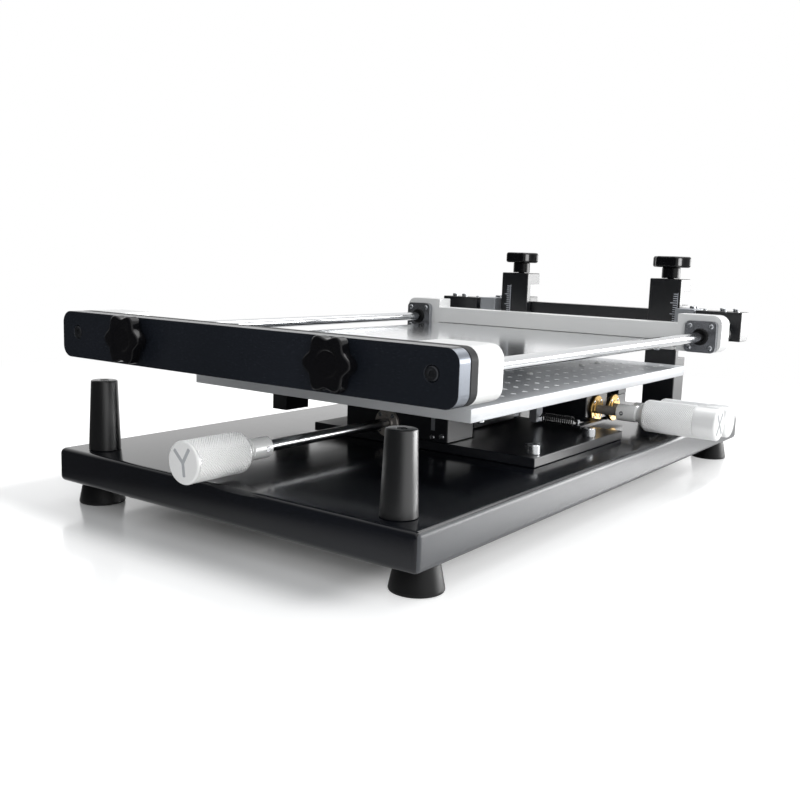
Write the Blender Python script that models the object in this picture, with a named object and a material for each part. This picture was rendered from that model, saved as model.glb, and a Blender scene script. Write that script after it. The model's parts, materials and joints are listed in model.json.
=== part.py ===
"""Solder paste stencil printer: a bench printer with a lifting frame that clamps a stencil foil,
and a perforated platform below it that three fine adjusting screws move in X, Y and turn.

Machine coordinates: x is zero on the middle line and grows to the right, y is zero at the front
edge of the base and grows to the back, z is zero on the bench. Heights named *_level are
counted from the deck, the base's top face. All lengths are metres."""

import math

import bmesh
import bpy
from mathutils import Matrix, Vector

# Fits
seat_gap = 0.0003
slide_gap = 0.0005
bore_gap = 0.0003
overrun = 0.002
round_facets = 24
small_facets = 16
round_share = 0.5

# Base: a folded steel tray on four rubber feet, with two rest posts at the front
base_width = 0.360
base_depth = 0.635
base_thickness = 0.0275
base_wall = 0.0025
base_edge_round = 0.0035
base_lip_width = 0.036
foot_height = 0.0192
foot_bottom_radius = 0.0185
foot_top_radius = 0.0150
foot_inset_x = 0.019
foot_inset_front = 0.028
foot_inset_rear = 0.034
foot_edge = 0.001
post_inset_x = 0.0308
post_y = 0.0225
post_height = 0.0567
post_bottom_radius = 0.0127
post_top_radius = 0.0105
post_edge = 0.0010
post_hole_radius = 0.0022
post_hole_depth = 0.004

# Towers: open-backed columns with a lead screw and a star knob each
tower_width = 0.0368
tower_rear_margin = 0.0045
tower_depth = 0.0315
tower_height = 0.1500
tower_front_wall = 0.0080
tower_window_bottom = 0.0600
tower_window_top = 0.1365
tower_edge = 0.0008
lift_screw_radius = 0.0040
lift_screw_setback = 0.0160
lift_screw_foot = 0.0060
lift_knob_radius = 0.0220
lift_knob_thickness = 0.0125
lift_stem_radius = 0.0105
lift_stem_height = 0.0125

# Lift: two carriages in the tower windows, joined by the cross bar, with a hinge block outside
carriage_height = 0.0280
carriage_level = 0.0930
carriage_rear_inset = 0.0020
cross_bar_height = 0.0143
cross_bar_level = 0.1007
cross_bar_depth = 0.0160
cross_bar_setback = 0.0100
hinge_block_width = 0.0217
hinge_block_lead = 0.0150
hinge_block_depth = 0.0430
hinge_block_height = 0.0160
hinge_block_level = 0.1020
hinge_axis_lead = 0.0060
hinge_axis_level = 0.1090
hinge_pin_radius = 0.0040
hinge_pin_recess = 0.0052

# Swinging frame: arm blocks on the hinge pins, two guide rods and the front plates
arm_inner_reach = 0.0333
arm_side_gap = 0.0032
arm_width = 0.0500
arm_lead = 0.0190
arm_depth = 0.0260
arm_level = 0.0860
arm_height = 0.0315
rod_inset = 0.0196
rod_level = 0.0942
rod_radius = 0.0050
rod_socket_depth = 0.0230
collar_radius = 0.0100
collar_neck_radius = 0.0086
collar_length = 0.0215
collar_bumper_share = 0.55
front_bar_length = 0.3878
front_bar_height = 0.0375
front_bar_level = 0.0734
front_bar_corner = 0.0095
front_bar_edge = 0.0008
front_plate_y = 0.0160
front_plate_thickness = 0.0130
inner_plate_thickness = 0.0085
rod_screw_recess_radius = 0.0052
rod_screw_recess_depth = 0.0018

# Clamp bars that hold the stencil: the front one is drawn by two star knobs, the rear one slides
clamp_block_width = 0.0460
front_clamp_depth = 0.0302
clamp_middle_level = 0.0884
front_middle_height = 0.0146
strip_end_gap = 0.0039
strip_thickness = 0.0092
strip_inset = 0.0020
foil_side_gap = 0.0079
foil_thickness = 0.0005
foil_front_inset = 0.0070
foil_rear_inset = 0.0060
rear_bar_lead = 0.0740
rear_bar_depth = 0.0240
rear_block_level = 0.0780
rear_block_height = 0.0380
rear_middle_height = 0.0176
bearing_flange_side = 0.0320
bearing_flange_thickness = 0.0060
bearing_flange_corner = 0.0050
bearing_body_radius = 0.0095
tension_knob_inset = 0.0919
tension_knob_radius = 0.0200
tension_knob_thickness = 0.0100
tension_hub_radius = 0.0090
tension_hub_length = 0.0037
tension_stud_radius = 0.0040
tension_stud_reach = 0.0220

# Star knobs share one outline: a round body with lobes
star_lobes = 6
star_points_per_lobe = 8
star_lobe_share = 0.10
star_edge = 0.0010

# Stage, from the deck up: fixed plate, Y slide, X slide, turning plate, platform
stage_plate_left_x = -0.0860
stage_plate_right_x = 0.1460
stage_rear_margin = 0.2500
stage_plate_depth = 0.1757
stage_plate_thickness = 0.0080
plate_edge = 0.0006
plate_bolt_x = 0.1355
plate_bolt_front_setback = 0.0157
plate_bolt_rear_setback = 0.1227
plate_bolt_head_radius = 0.0063
plate_bolt_head_height = 0.0080
plate_bolt_shank_radius = 0.0040
plate_bolt_socket_radius = 0.0034
plate_bolt_socket_depth = 0.0040
rail_width = 0.0120
rail_height = 0.0064
y_rail_length = 0.1250
y_rail_front_setback = 0.0487
y_rail_left_x = -0.0600
y_rail_right_x = 0.0300
y_block_left_x = -0.0470
y_block_width = 0.1100
y_block_front_setback = -0.0003
y_block_depth = 0.0410
y_block_height = 0.0254
block_edge = 0.0006

y_slide_rise = 0.0120
y_slide_thickness = 0.0077
y_slide_left_x = -0.1300
y_slide_front_setback = 0.0527
y_slide_depth = 0.2380
y_slide_step_x = 0.0520
y_slide_step_setback = 0.1757
y_slide_side_x = 0.0417
y_slide_notch_x = -0.0080
y_slide_rear_x = 0.0050
y_slide_rear_step_setback = 0.2367
carriage_width = 0.0260
carriage_length = 0.0750
carriage_front_setback = 0.0757
carriage_drop = 0.0105
push_lug_half_width = 0.0120
push_lug_length = 0.0120
push_lug_drop = 0.0098
x_rail_height = 0.0047
x_rail_width = 0.0100
x_rail_left_x = -0.1150
x_rail_length = 0.1500
x_rail_front_setback = 0.0957
x_rail_rear_setback = 0.1757
x_block_front_setback = 0.1877
x_block_depth = 0.0490
x_block_right_x = 0.1020
x_block_level = 0.0093
x_block_top_level = 0.0415

x_slide_lift = 0.0015
x_slide_thickness = 0.0100
x_slide_left_x = -0.0900
x_slide_right_x = 0.0300
x_slide_front_setback = 0.0757
x_slide_notch_x = 0.0140
x_slide_notch_front_setback = 0.2367
x_slide_arm_front_setback = 0.2657
x_slide_rear_setback = 0.2857
x_lug_left_x = 0.0050
x_lug_right_x = 0.0250
x_lug_half_width = 0.0100
x_lug_drop = 0.0165
turn_block_left_x = 0.0600
turn_block_front_setback = 0.2397
turn_block_level = 0.0055

pivot_setback = 0.1237
pivot_flange_radius = 0.0200
pivot_flange_thickness = 0.0022
pivot_pin_radius = 0.0060
pivot_pin_down = 0.0080
pivot_pin_up = 0.0045
turning_plate_left_x = -0.1350
turning_plate_right_x = 0.0950
turning_plate_front_setback = -0.0063
turning_plate_depth = 0.2720
turning_plate_thickness = 0.0052
corner_block_width = 0.0470
corner_block_depth = 0.0320
corner_block_drop = 0.0263
turn_lug_left_x = 0.0280
turn_lug_width = 0.0080
turn_lug_half_length = 0.0080
turn_lug_drop = 0.0320
platform_half_width = 0.1432
platform_post_gap = 0.0793
platform_tower_gap = 0.0475
platform_thickness = 0.0103
platform_edge = 0.0006

# Adjusting screws: a knurled knob on a shaft that runs through a flanged nut into its slide
screw_shaft_radius = 0.0045
y_screw_level = 0.0188
x_screw_level = 0.0206
turn_screw_level = 0.0178
x_screw_setback = 0.2087
turn_screw_setback = 0.2507
knob_radius = 0.0155
knob_edge = 0.0010
knob_neck_radius = 0.0082
knob_neck_length = 0.0190
knob_groove_radius = 0.0066
knob_groove_length = 0.0030
knob_cone_length = 0.0100
knob_socket_depth = 0.0150
y_knob_body_length = 0.0520
x_knob_body_length = 0.0700
turn_knob_body_length = 0.0670
y_knob_front_y = -0.0249
x_knob_neck_x = 0.1270
flange_radius = 0.0138
flange_thickness = 0.0032
y_flange_radius = 0.0125
turn_pad_radius = 0.0035
turn_pad_length = 0.0040
turn_pad_gap = 0.0006

# Return spring between a bracket on the X slide and an anchor on the X nut block
spring_wire_radius = 0.00055
spring_radius = 0.0040
spring_pitch = 0.0022
spring_curls = 14
spring_points_per_curl = 9
spring_setback = 0.1417
spring_level = 0.0170
spring_lead = 0.0035
bracket_width = 0.0120
bracket_leg_length = 0.0080
bracket_left_gap = 0.0370
bracket_drop = 0.0175
bracket_thickness = 0.0090
anchor_inner_x = 0.0900
anchor_leg_width = 0.0080
anchor_level = 0.0120
anchor_height = 0.0100
anchor_foot_depth = 0.0117
anchor_leg_reach = 0.0530

# Places that follow from the sizes above
deck = foot_height + base_thickness
post_x = base_width / 2 - post_inset_x
front_bar_half = front_bar_length / 2
rod_x = front_bar_half - rod_inset
arm_inner_x = rod_x - arm_inner_reach
tower_outer_x = arm_inner_x - arm_side_gap - hinge_block_width - seat_gap
tower_inner_x = tower_outer_x - tower_width
tower_front_y = base_depth - tower_rear_margin - tower_depth
hinge_block_front_y = tower_front_y - hinge_block_lead
hinge_axis_y = tower_front_y - hinge_axis_lead
hinge_pin_length = arm_side_gap + arm_width - hinge_pin_recess
arm_front_y = tower_front_y - arm_lead
rear_bar_y = arm_front_y - rear_bar_lead
tower_mid_x = tower_inner_x + tower_width / 2
lift_screw_y = tower_front_y + lift_screw_setback
front_bar_mid_level = front_bar_level + front_bar_height / 2
clamp_middle_half = front_bar_half - clamp_block_width
strip_half_length = clamp_middle_half - strip_end_gap
foil_half_width = clamp_middle_half - foil_side_gap
tension_knob_x = front_bar_half - tension_knob_inset
inner_plate_y = front_plate_y + front_plate_thickness + seat_gap
front_clamp_y = inner_plate_y + inner_plate_thickness + seat_gap
strip_level = clamp_middle_level - 2 * seat_gap - foil_thickness - strip_thickness
foil_level = clamp_middle_level - seat_gap - foil_thickness
arm_rod_end_y = arm_front_y + rod_socket_depth
stage_plate_front_y = base_depth - stage_rear_margin - stage_plate_depth
plate_bolt_front_y = stage_plate_front_y + plate_bolt_front_setback
plate_bolt_rear_y = stage_plate_front_y + plate_bolt_rear_setback
y_rail_front_y = stage_plate_front_y + y_rail_front_setback
y_block_front_y = stage_plate_front_y + y_block_front_setback
y_slide_front_y = stage_plate_front_y + y_slide_front_setback
y_slide_step_y = stage_plate_front_y + y_slide_step_setback
y_slide_rear_step_y = stage_plate_front_y + y_slide_rear_step_setback
carriage_front_y = stage_plate_front_y + carriage_front_setback
x_rail_front_y = stage_plate_front_y + x_rail_front_setback
x_rail_rear_y = stage_plate_front_y + x_rail_rear_setback
x_block_front_y = stage_plate_front_y + x_block_front_setback
x_slide_front_y = stage_plate_front_y + x_slide_front_setback
x_slide_notch_front_y = stage_plate_front_y + x_slide_notch_front_setback
x_slide_arm_front_y = stage_plate_front_y + x_slide_arm_front_setback
x_slide_rear_y = stage_plate_front_y + x_slide_rear_setback
turn_block_front_y = stage_plate_front_y + turn_block_front_setback
pivot_y = stage_plate_front_y + pivot_setback
turning_plate_front_y = stage_plate_front_y + turning_plate_front_setback
platform_front_y = post_y + post_bottom_radius + platform_post_gap
platform_depth = tower_front_y - platform_tower_gap - platform_front_y
x_screw_y = stage_plate_front_y + x_screw_setback
turn_screw_y = stage_plate_front_y + turn_screw_setback
spring_y = stage_plate_front_y + spring_setback
stage_plate_level = seat_gap
stage_plate_top = stage_plate_level + stage_plate_thickness
y_slide_level = stage_plate_top + y_slide_rise
y_slide_top = y_slide_level + y_slide_thickness
x_slide_level = y_slide_top + x_slide_lift
x_slide_top = x_slide_level + x_slide_thickness
pivot_level = x_slide_top + seat_gap
turning_plate_level = pivot_level + pivot_flange_thickness + seat_gap
turning_plate_top = turning_plate_level + turning_plate_thickness
platform_level = turning_plate_top + seat_gap
x_block_left_x = y_slide_side_x + 2 * seat_gap
turn_block_top = x_slide_level - seat_gap
x_knob_end_x = x_knob_neck_x + knob_neck_length + knob_cone_length + x_knob_body_length
middle_x = (x_knob_end_x - front_bar_half) / 2
middle_y = (base_depth + y_knob_front_y) / 2


def srgb(hex_colour):
    """Linear colour of an sRGB hex value."""
    parts = [int(hex_colour[i:i + 2], 16) / 255 for i in (0, 2, 4)]
    return [p / 12.92 if p <= 0.04045 else ((p + 0.055) / 1.055) ** 2.4 for p in parts] + [1.0]


def material(name, hex_colour, roughness, metallic):
    made = bpy.data.materials.new(name)
    made.use_nodes = True
    shader = made.node_tree.nodes["Principled BSDF"]
    shader.inputs["Base Color"].default_value = srgb(hex_colour)
    shader.inputs["Roughness"].default_value = roughness
    shader.inputs["Metallic"].default_value = metallic
    made.diffuse_color = srgb(hex_colour)
    return made


def world(x, y, level):
    """A machine point, given by its height over the deck, in the part's own frame."""
    return Vector((x - middle_x, y - middle_y, deck + level))


joints = {}


def joint(name, parent, x, y, level):
    """An empty on a joint's axis, which carries the pieces that move with it."""
    empty = bpy.data.objects.new(name + "_axis", None)
    bpy.context.collection.objects.link(empty)
    place = world(x, y, level)
    if parent:
        empty.parent = joints[parent][0]
        empty.location = place - joints[parent][1]
    else:
        empty.location = place
    joints[name] = (empty, place)


def piece(name, mesh_maker, x, y, level, finish, rides=None):
    """A named piece with its origin at a machine point, carried by a joint's empty if it moves."""
    mesh = bpy.data.meshes.new(name)
    mesh_maker.to_mesh(mesh)
    mesh_maker.free()
    mesh.shade_smooth()
    mesh.set_sharp_from_angle(angle=math.radians(32))
    made = bpy.data.objects.new(name, mesh)
    bpy.context.collection.objects.link(made)
    made.location = world(x, y, level)
    if rides:
        made.parent = joints[rides][0]
        made.location = world(x, y, level) - joints[rides][1]
    mesh.materials.append(material(name + "_finish", *finish))
    return made


def tool(target, mesh_maker, x, y, level, operation="DIFFERENCE"):
    """A hidden shape that is cut from a piece, or joined to it."""
    mesh = bpy.data.meshes.new(target.name + "_tool")
    mesh_maker.to_mesh(mesh)
    mesh_maker.free()
    mesh.shade_smooth()
    mesh.set_sharp_from_angle(angle=math.radians(32))
    hidden = bpy.data.objects.new(target.name + "_tool", mesh)
    bpy.context.collection.objects.link(hidden)
    hidden.location = world(x, y, level)
    hidden.hide_render = True
    hidden.display_type = "WIRE"
    modifier = target.modifiers.new(operation.title(), "BOOLEAN")
    modifier.object = hidden
    modifier.operation = operation
    modifier.solver = "EXACT"


def turned_to(mesh_maker, axis):
    """Turns a mesh made along +Z so that it runs along the given axis."""
    turns = {"X": Matrix.Rotation(math.radians(90), 4, "Y"),
             "Y": Matrix.Rotation(math.radians(-90), 4, "X")}
    if axis in turns:
        mesh_maker.transform(turns[axis])
    return mesh_maker


def slab(x_size, y_size, z_size, edge=0.0, segments=1):
    """A block centred in x and y that stands on z zero, with its edges broken."""
    maker = bmesh.new()
    bmesh.ops.create_cube(maker, size=1.0)
    bmesh.ops.scale(maker, vec=(x_size, y_size, z_size), verts=maker.verts)
    bmesh.ops.translate(maker, vec=(0, 0, z_size / 2), verts=maker.verts)
    if edge > 0:
        bmesh.ops.bevel(maker, geom=maker.edges[:], offset=edge, segments=segments, profile=round_share,
                        affect="EDGES")
    return maker


def turning(profile, facets, axis="Z"):
    """A solid of revolution from (radius, height) points, listed upwards; a ring if none is zero."""
    maker = bmesh.new()
    ring = profile[0][0] > 0
    rows = []
    for radius, height in profile:
        if radius == 0:
            rows.append([maker.verts.new((0, 0, height))])
            continue
        angles = [2 * math.pi * i / facets for i in range(facets)]
        rows.append([maker.verts.new((radius * math.cos(a), radius * math.sin(a), height)) for a in angles])
    pairs = list(zip(rows, rows[1:]))
    if ring:
        pairs.append((rows[-1], rows[0]))
    for low, high in pairs:
        for i in range(facets):
            k = (i + 1) % facets
            if len(low) == 1:
                maker.faces.new((low[0], high[k], high[i]))
            elif len(high) == 1:
                maker.faces.new((low[i], low[k], high[0]))
            else:
                maker.faces.new((low[i], low[k], high[k], high[i]))
    bmesh.ops.recalc_face_normals(maker, faces=maker.faces[:])
    return turned_to(maker, axis)


def rod(radius, length, edge, axis, facets=small_facets):
    """A round bar with broken ends that starts at its origin."""
    profile = [(0, 0), (radius - edge, 0), (radius, edge), (radius, length - edge), (radius - edge, length),
               (0, length)]
    return turning(profile, facets, axis)


def drill(radius, length, axis, facets=small_facets):
    """A plain round cutter that starts at its origin."""
    return turning([(0, 0), (radius, 0), (radius, length), (0, length)], facets, axis)


def prism(outline, thickness, edge=0.0, axis="Z"):
    """An outline pushed along an axis by a thickness, with the rims of its two faces broken. Along
    Y, the outline's second coordinate is the height."""
    maker = bmesh.new()
    upright = -1 if axis == "Y" else 1
    low = [maker.verts.new((x, upright * y, 0)) for x, y in outline]
    high = [maker.verts.new((x, upright * y, thickness)) for x, y in outline]
    bottom = maker.faces.new(list(reversed(low)))
    top = maker.faces.new(high)
    for i in range(len(outline)):
        k = (i + 1) % len(outline)
        maker.faces.new((low[i], low[k], high[k], high[i]))
    if edge > 0:
        rims = list(bottom.edges) + list(top.edges)
        bmesh.ops.bevel(maker, geom=rims, offset=edge, segments=1, profile=round_share, affect="EDGES")
    bmesh.ops.recalc_face_normals(maker, faces=maker.faces[:])
    return turned_to(maker, axis)


def corner_arc(x, y, radius, start_degrees, steps=5):
    """Points of a quarter circle round (x, y)."""
    angles = [math.radians(start_degrees + 90 * i / steps) for i in range(steps + 1)]
    return [(x + radius * math.cos(a), y + radius * math.sin(a)) for a in angles]


def rounded_rectangle(width, height, radius):
    """A rectangle round the origin with round corners."""
    x, y = width / 2 - radius, height / 2 - radius
    return (corner_arc(x, y, radius, 0) + corner_arc(-x, y, radius, 90)
            + corner_arc(-x, -y, radius, 180) + corner_arc(x, -y, radius, 270))


def dumbbell(length, height, corner, block, middle_low, middle_high):
    """The outline of a clamp bar: two tall end blocks with a lower bar between them."""
    x, y = length / 2 - corner, height / 2 - corner
    inner = length / 2 - block
    return (corner_arc(x, y, corner, 0) + [(inner, height / 2), (inner, middle_high)]
            + [(-inner, middle_high), (-inner, height / 2)] + corner_arc(-x, y, corner, 90)
            + corner_arc(-x, -y, corner, 180) + [(-inner, -height / 2), (-inner, middle_low)]
            + [(inner, middle_low), (inner, -height / 2)] + corner_arc(x, -y, corner, 270))


def star(radius):
    """The lobed outline of a star knob."""
    count = star_lobes * star_points_per_lobe
    outline = []
    for i in range(count):
        angle = 2 * math.pi * i / count
        reach = radius * (1 - star_lobe_share * (1 - math.cos(star_lobes * angle)))
        outline.append((reach * math.cos(angle), reach * math.sin(angle)))
    return outline


black_paint = ("17181A", 0.28, 0.0)
black_anodised = ("1B1C20", 0.42, 0.3)
aluminium = ("C9CBCD", 0.34, 1.0)
steel = ("B9BBBE", 0.20, 1.0)
dark_steel = ("54565A", 0.25, 1.0)
brass = ("C9A24A", 0.28, 1.0)
rubber = ("141414", 0.75, 0.0)
plastic = ("151517", 0.38, 0.0)
foil_steel = ("D5D7D9", 0.08, 1.0)


def build_base():
    tray = piece("base_tray", slab(base_width, base_depth, base_thickness, base_edge_round, 3),
                 0, base_depth / 2, -base_thickness, black_paint)
    cavity = slab(base_width - 2 * base_wall, base_depth - 2 * base_wall, base_thickness - 2 * base_wall)
    tool(tray, cavity, 0, base_depth / 2, -base_thickness + base_wall)
    mouth = slab(base_width - 2 * base_lip_width, base_depth - 2 * base_lip_width, base_wall + overrun)
    tool(tray, mouth, 0, base_depth / 2, -base_thickness - overrun / 2)
    foot_top = foot_height - seat_gap
    foot_profile = [(0, 0), (foot_bottom_radius - foot_edge, 0), (foot_bottom_radius, foot_edge),
                    (foot_top_radius, foot_top), (0, foot_top)]
    foot_x = base_width / 2 - foot_inset_x
    for side, x in (("left", -foot_x), ("right", foot_x)):
        for end, y in (("front", foot_inset_front), ("rear", base_depth - foot_inset_rear)):
            piece("foot_" + end + "_" + side, turning(foot_profile, round_facets), x, y, -deck, rubber)
        post_profile = [(0, 0), (post_bottom_radius, 0), (post_top_radius, post_height - post_edge),
                        (post_top_radius - post_edge, post_height), (post_hole_radius, post_height),
                        (post_hole_radius, post_height - post_hole_depth), (0,
                                                                            post_height - post_hole_depth)]
        piece("rest_post_" + side, turning(post_profile, round_facets),
              math.copysign(post_x, x), post_y, seat_gap, plastic)


def build_towers():
    for side, sign in (("left", -1), ("right", 1)):
        x = sign * tower_mid_x
        tower = piece("tower_" + side, slab(tower_width, tower_depth, tower_height, tower_edge),
                      x, tower_front_y + tower_depth / 2, seat_gap, black_anodised)
        window = slab(tower_width + overrun, tower_depth, tower_window_top - tower_window_bottom)
        tool(tower, window, x, tower_front_y + tower_front_wall + tower_depth / 2, tower_window_bottom)
        screw_foot = tower_window_bottom - lift_screw_foot
        bore_foot = screw_foot - bore_gap
        bore = drill(lift_screw_radius + bore_gap, tower_height + overrun - bore_foot, "Z")
        tool(tower, bore, x, lift_screw_y, bore_foot)
        stem_level = tower_height + 2 * seat_gap
        knob_level = stem_level + lift_stem_height
        stem_top = lift_stem_height + star_edge
        profile = [(0, screw_foot - stem_level), (lift_screw_radius, screw_foot - stem_level),
                   (lift_screw_radius, 0),
                   (lift_stem_radius, 0), (lift_stem_radius, stem_top), (0, stem_top)]
        screw = piece("lift_knob_" + side, turning(profile, small_facets), x, lift_screw_y, stem_level,
                      plastic,
                      "lift_screw_" + side)
        tool(screw, prism(star(lift_knob_radius), lift_knob_thickness, star_edge), x, lift_screw_y,
             knob_level, "UNION")


def build_lift():
    for side, sign in (("left", -1), ("right", 1)):
        depth = tower_depth - tower_front_wall - seat_gap - carriage_rear_inset
        y = tower_front_y + tower_front_wall + seat_gap + depth / 2
        carriage = piece("lift_carriage_" + side, slab(tower_width, depth, carriage_height, block_edge),
                         sign * tower_mid_x, y, carriage_level, black_anodised, "lift")
        tool(carriage, drill(lift_screw_radius + bore_gap, carriage_height + overrun, "Z"),
             sign * tower_mid_x, lift_screw_y, carriage_level - overrun / 2)
        inner_x = tower_outer_x + seat_gap
        block_x = sign * (inner_x + hinge_block_width / 2)
        shape = slab(hinge_block_width, hinge_block_depth, hinge_block_height, block_edge)
        block = piece("hinge_block_" + side, shape, block_x, hinge_block_front_y + hinge_block_depth / 2,
                      hinge_block_level, aluminium, "lift")
        pin_root = inner_x + hinge_block_width - overrun
        pin = rod(hinge_pin_radius, hinge_pin_length + overrun, block_edge, "X")
        start = pin_root if sign > 0 else -pin_root - hinge_pin_length - overrun
        tool(block, pin, start, hinge_axis_y, hinge_axis_level, "UNION")
    length = 2 * (tower_inner_x - seat_gap)
    piece("cross_bar", slab(length, cross_bar_depth, cross_bar_height, block_edge),
          0, tower_front_y + cross_bar_setback + cross_bar_depth / 2, cross_bar_level,
          black_anodised, "lift")


def build_frame():
    for side, sign in (("left", -1), ("right", 1)):
        x = sign * (arm_inner_x + arm_width / 2)
        arm = piece("arm_block_" + side, slab(arm_width, arm_depth, arm_height, block_edge),
                    x, arm_front_y + arm_depth / 2, arm_level, black_anodised, "frame")
        pin_end = tower_outer_x + seat_gap + hinge_block_width + hinge_pin_length + bore_gap
        bore_length = pin_end - arm_inner_x + overrun
        start = arm_inner_x - overrun if sign > 0 else -pin_end
        tool(arm, drill(hinge_pin_radius + bore_gap, bore_length, "X"), start, hinge_axis_y,
             hinge_axis_level)
        tool(arm, drill(rod_radius + bore_gap, rod_socket_depth + bore_gap + overrun, "Y"),
             sign * rod_x, arm_front_y - overrun, rod_level)
        rod_start = front_plate_y + front_plate_thickness + seat_gap
        piece("guide_rod_" + side, rod(rod_radius, arm_rod_end_y - rod_start, block_edge, "Y"),
              sign * rod_x, rod_start, rod_level, steel, "frame")
        collar_y = arm_front_y - seat_gap - collar_length
        bumper = collar_length * collar_bumper_share
        inner = rod_radius + bore_gap
        profile = [(inner, 0), (collar_radius, 0), (collar_radius, bumper), (collar_neck_radius, bumper),
                   (collar_neck_radius, collar_length), (inner, collar_length)]
        piece("rod_bumper_" + side, turning(profile, round_facets, "Y"), sign * rod_x, collar_y, rod_level,
              rubber, "frame")
    outline = rounded_rectangle(front_bar_length, front_bar_height, front_bar_corner)
    for name, y, thickness in (("front_plate", front_plate_y, front_plate_thickness),
                               ("inner_plate", inner_plate_y, inner_plate_thickness)):
        plate = piece(name, prism(outline, thickness, front_bar_edge, "Y"), 0, y, front_bar_mid_level,
                      black_anodised, "frame")
        for sign in (-1, 1):
            tool(plate, drill(tension_stud_radius + bore_gap, thickness + 2 * overrun, "Y"),
                 sign * tension_knob_x, y - overrun, rod_level)
            if name == "inner_plate":
                tool(plate, drill(rod_radius + bore_gap, thickness + 2 * overrun, "Y"), sign * rod_x,
                     y - overrun, rod_level)
            else:
                tool(plate, drill(rod_screw_recess_radius, rod_screw_recess_depth + overrun, "Y"),
                     sign * rod_x, y - overrun, rod_level)


def build_front_clamp():
    middle_low = clamp_middle_level - front_bar_mid_level
    outline = dumbbell(front_bar_length, front_bar_height, front_bar_corner, clamp_block_width,
                       middle_low, middle_low + front_middle_height)
    bar = piece("front_clamp_bar", prism(outline, front_clamp_depth, axis="Y"),
                0, front_clamp_y, front_bar_mid_level, aluminium, "front_clamp")
    for sign in (-1, 1):
        tool(bar, drill(rod_radius + slide_gap, front_clamp_depth + 2 * overrun, "Y"), sign * rod_x,
             front_clamp_y - overrun, rod_level)
        tool(bar, drill(tension_stud_radius + bore_gap, tension_stud_reach + bore_gap + overrun, "Y"),
             sign * tension_knob_x, front_clamp_y - overrun, rod_level)
    strip_depth = front_clamp_depth - 2 * strip_inset
    piece("front_clamp_strip", slab(2 * strip_half_length, strip_depth, strip_thickness, block_edge),
          0, front_clamp_y + front_clamp_depth / 2, strip_level, aluminium, "front_clamp")
    foil_start = front_clamp_y + foil_front_inset
    foil_end = rear_bar_y + rear_bar_depth - foil_rear_inset
    piece("stencil_foil", slab(2 * foil_half_width, foil_end - foil_start, foil_thickness),
          0, (foil_start + foil_end) / 2, foil_level, foil_steel, "front_clamp")
    for side, sign in (("left", -1), ("right", 1)):
        hub_start = front_plate_y - seat_gap - tension_hub_length
        stud_end = front_clamp_y + tension_stud_reach
        knob_start = hub_start - tension_knob_thickness
        stud_length = stud_end - hub_start
        profile = [(0, -star_edge), (tension_hub_radius, -star_edge), (tension_hub_radius, tension_hub_length),
                   (tension_stud_radius, tension_hub_length), (tension_stud_radius, stud_length),
                   (0, stud_length)]
        knob = piece("tension_knob_" + side, turning(profile, small_facets, "Y"), sign * tension_knob_x,
                     hub_start, rod_level, plastic, "tension_" + side)
        tool(knob, prism(star(tension_knob_radius), tension_knob_thickness, star_edge, "Y"),
             sign * tension_knob_x, knob_start, rod_level, "UNION")


def build_rear_clamp():
    block_mid = rear_block_level + rear_block_height / 2
    middle_low = clamp_middle_level - block_mid
    outline = dumbbell(front_bar_length, rear_block_height, front_bar_corner, clamp_block_width,
                       middle_low, middle_low + rear_middle_height)
    bar = piece("rear_clamp_bar", prism(outline, rear_bar_depth, axis="Y"),
                0, rear_bar_y, block_mid, aluminium, "rear_clamp")
    piece("rear_clamp_strip", slab(2 * strip_half_length, rear_bar_depth - 2 * strip_inset, strip_thickness,
                                   block_edge),
          0, rear_bar_y + rear_bar_depth / 2, strip_level, aluminium, "rear_clamp")
    flange = rounded_rectangle(bearing_flange_side, bearing_flange_side, bearing_flange_corner)
    flange_y = rear_bar_y - seat_gap - bearing_flange_thickness
    for side, sign in (("left", -1), ("right", 1)):
        tool(bar, drill(bearing_body_radius + bore_gap, rear_bar_depth + 2 * overrun, "Y", round_facets),
             sign * rod_x, rear_bar_y - overrun, rod_level)
        bearing = piece("linear_bearing_" + side, prism(flange, bearing_flange_thickness, front_bar_edge,
                                                        "Y"),
                        sign * rod_x, flange_y, rod_level, aluminium, "rear_clamp")
        body_length = rear_bar_depth + seat_gap + bearing_flange_thickness / 2
        body = drill(bearing_body_radius, body_length, "Y", round_facets)
        tool(bearing, body, sign * rod_x, flange_y + bearing_flange_thickness / 2, rod_level, "UNION")
        through = drill(rod_radius + slide_gap, bearing_flange_thickness + rear_bar_depth + 2 * overrun,
                        "Y")
        tool(bearing, through, sign * rod_x, flange_y - overrun, rod_level)


def block(name, left, right, front, rear, low, high, finish, rides=None, edge=block_edge):
    """A plain block between machine coordinates."""
    return piece(name, slab(right - left, rear - front, high - low, edge), (left + right) / 2,
                 (front + rear) / 2, low,
                 finish, rides)


def join_block(target, left, right, front, rear, low, high):
    """A block that becomes part of a piece."""
    tool(target, slab(right - left, rear - front, high - low), (left + right) / 2, (front + rear) / 2, low,
         "UNION")


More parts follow.
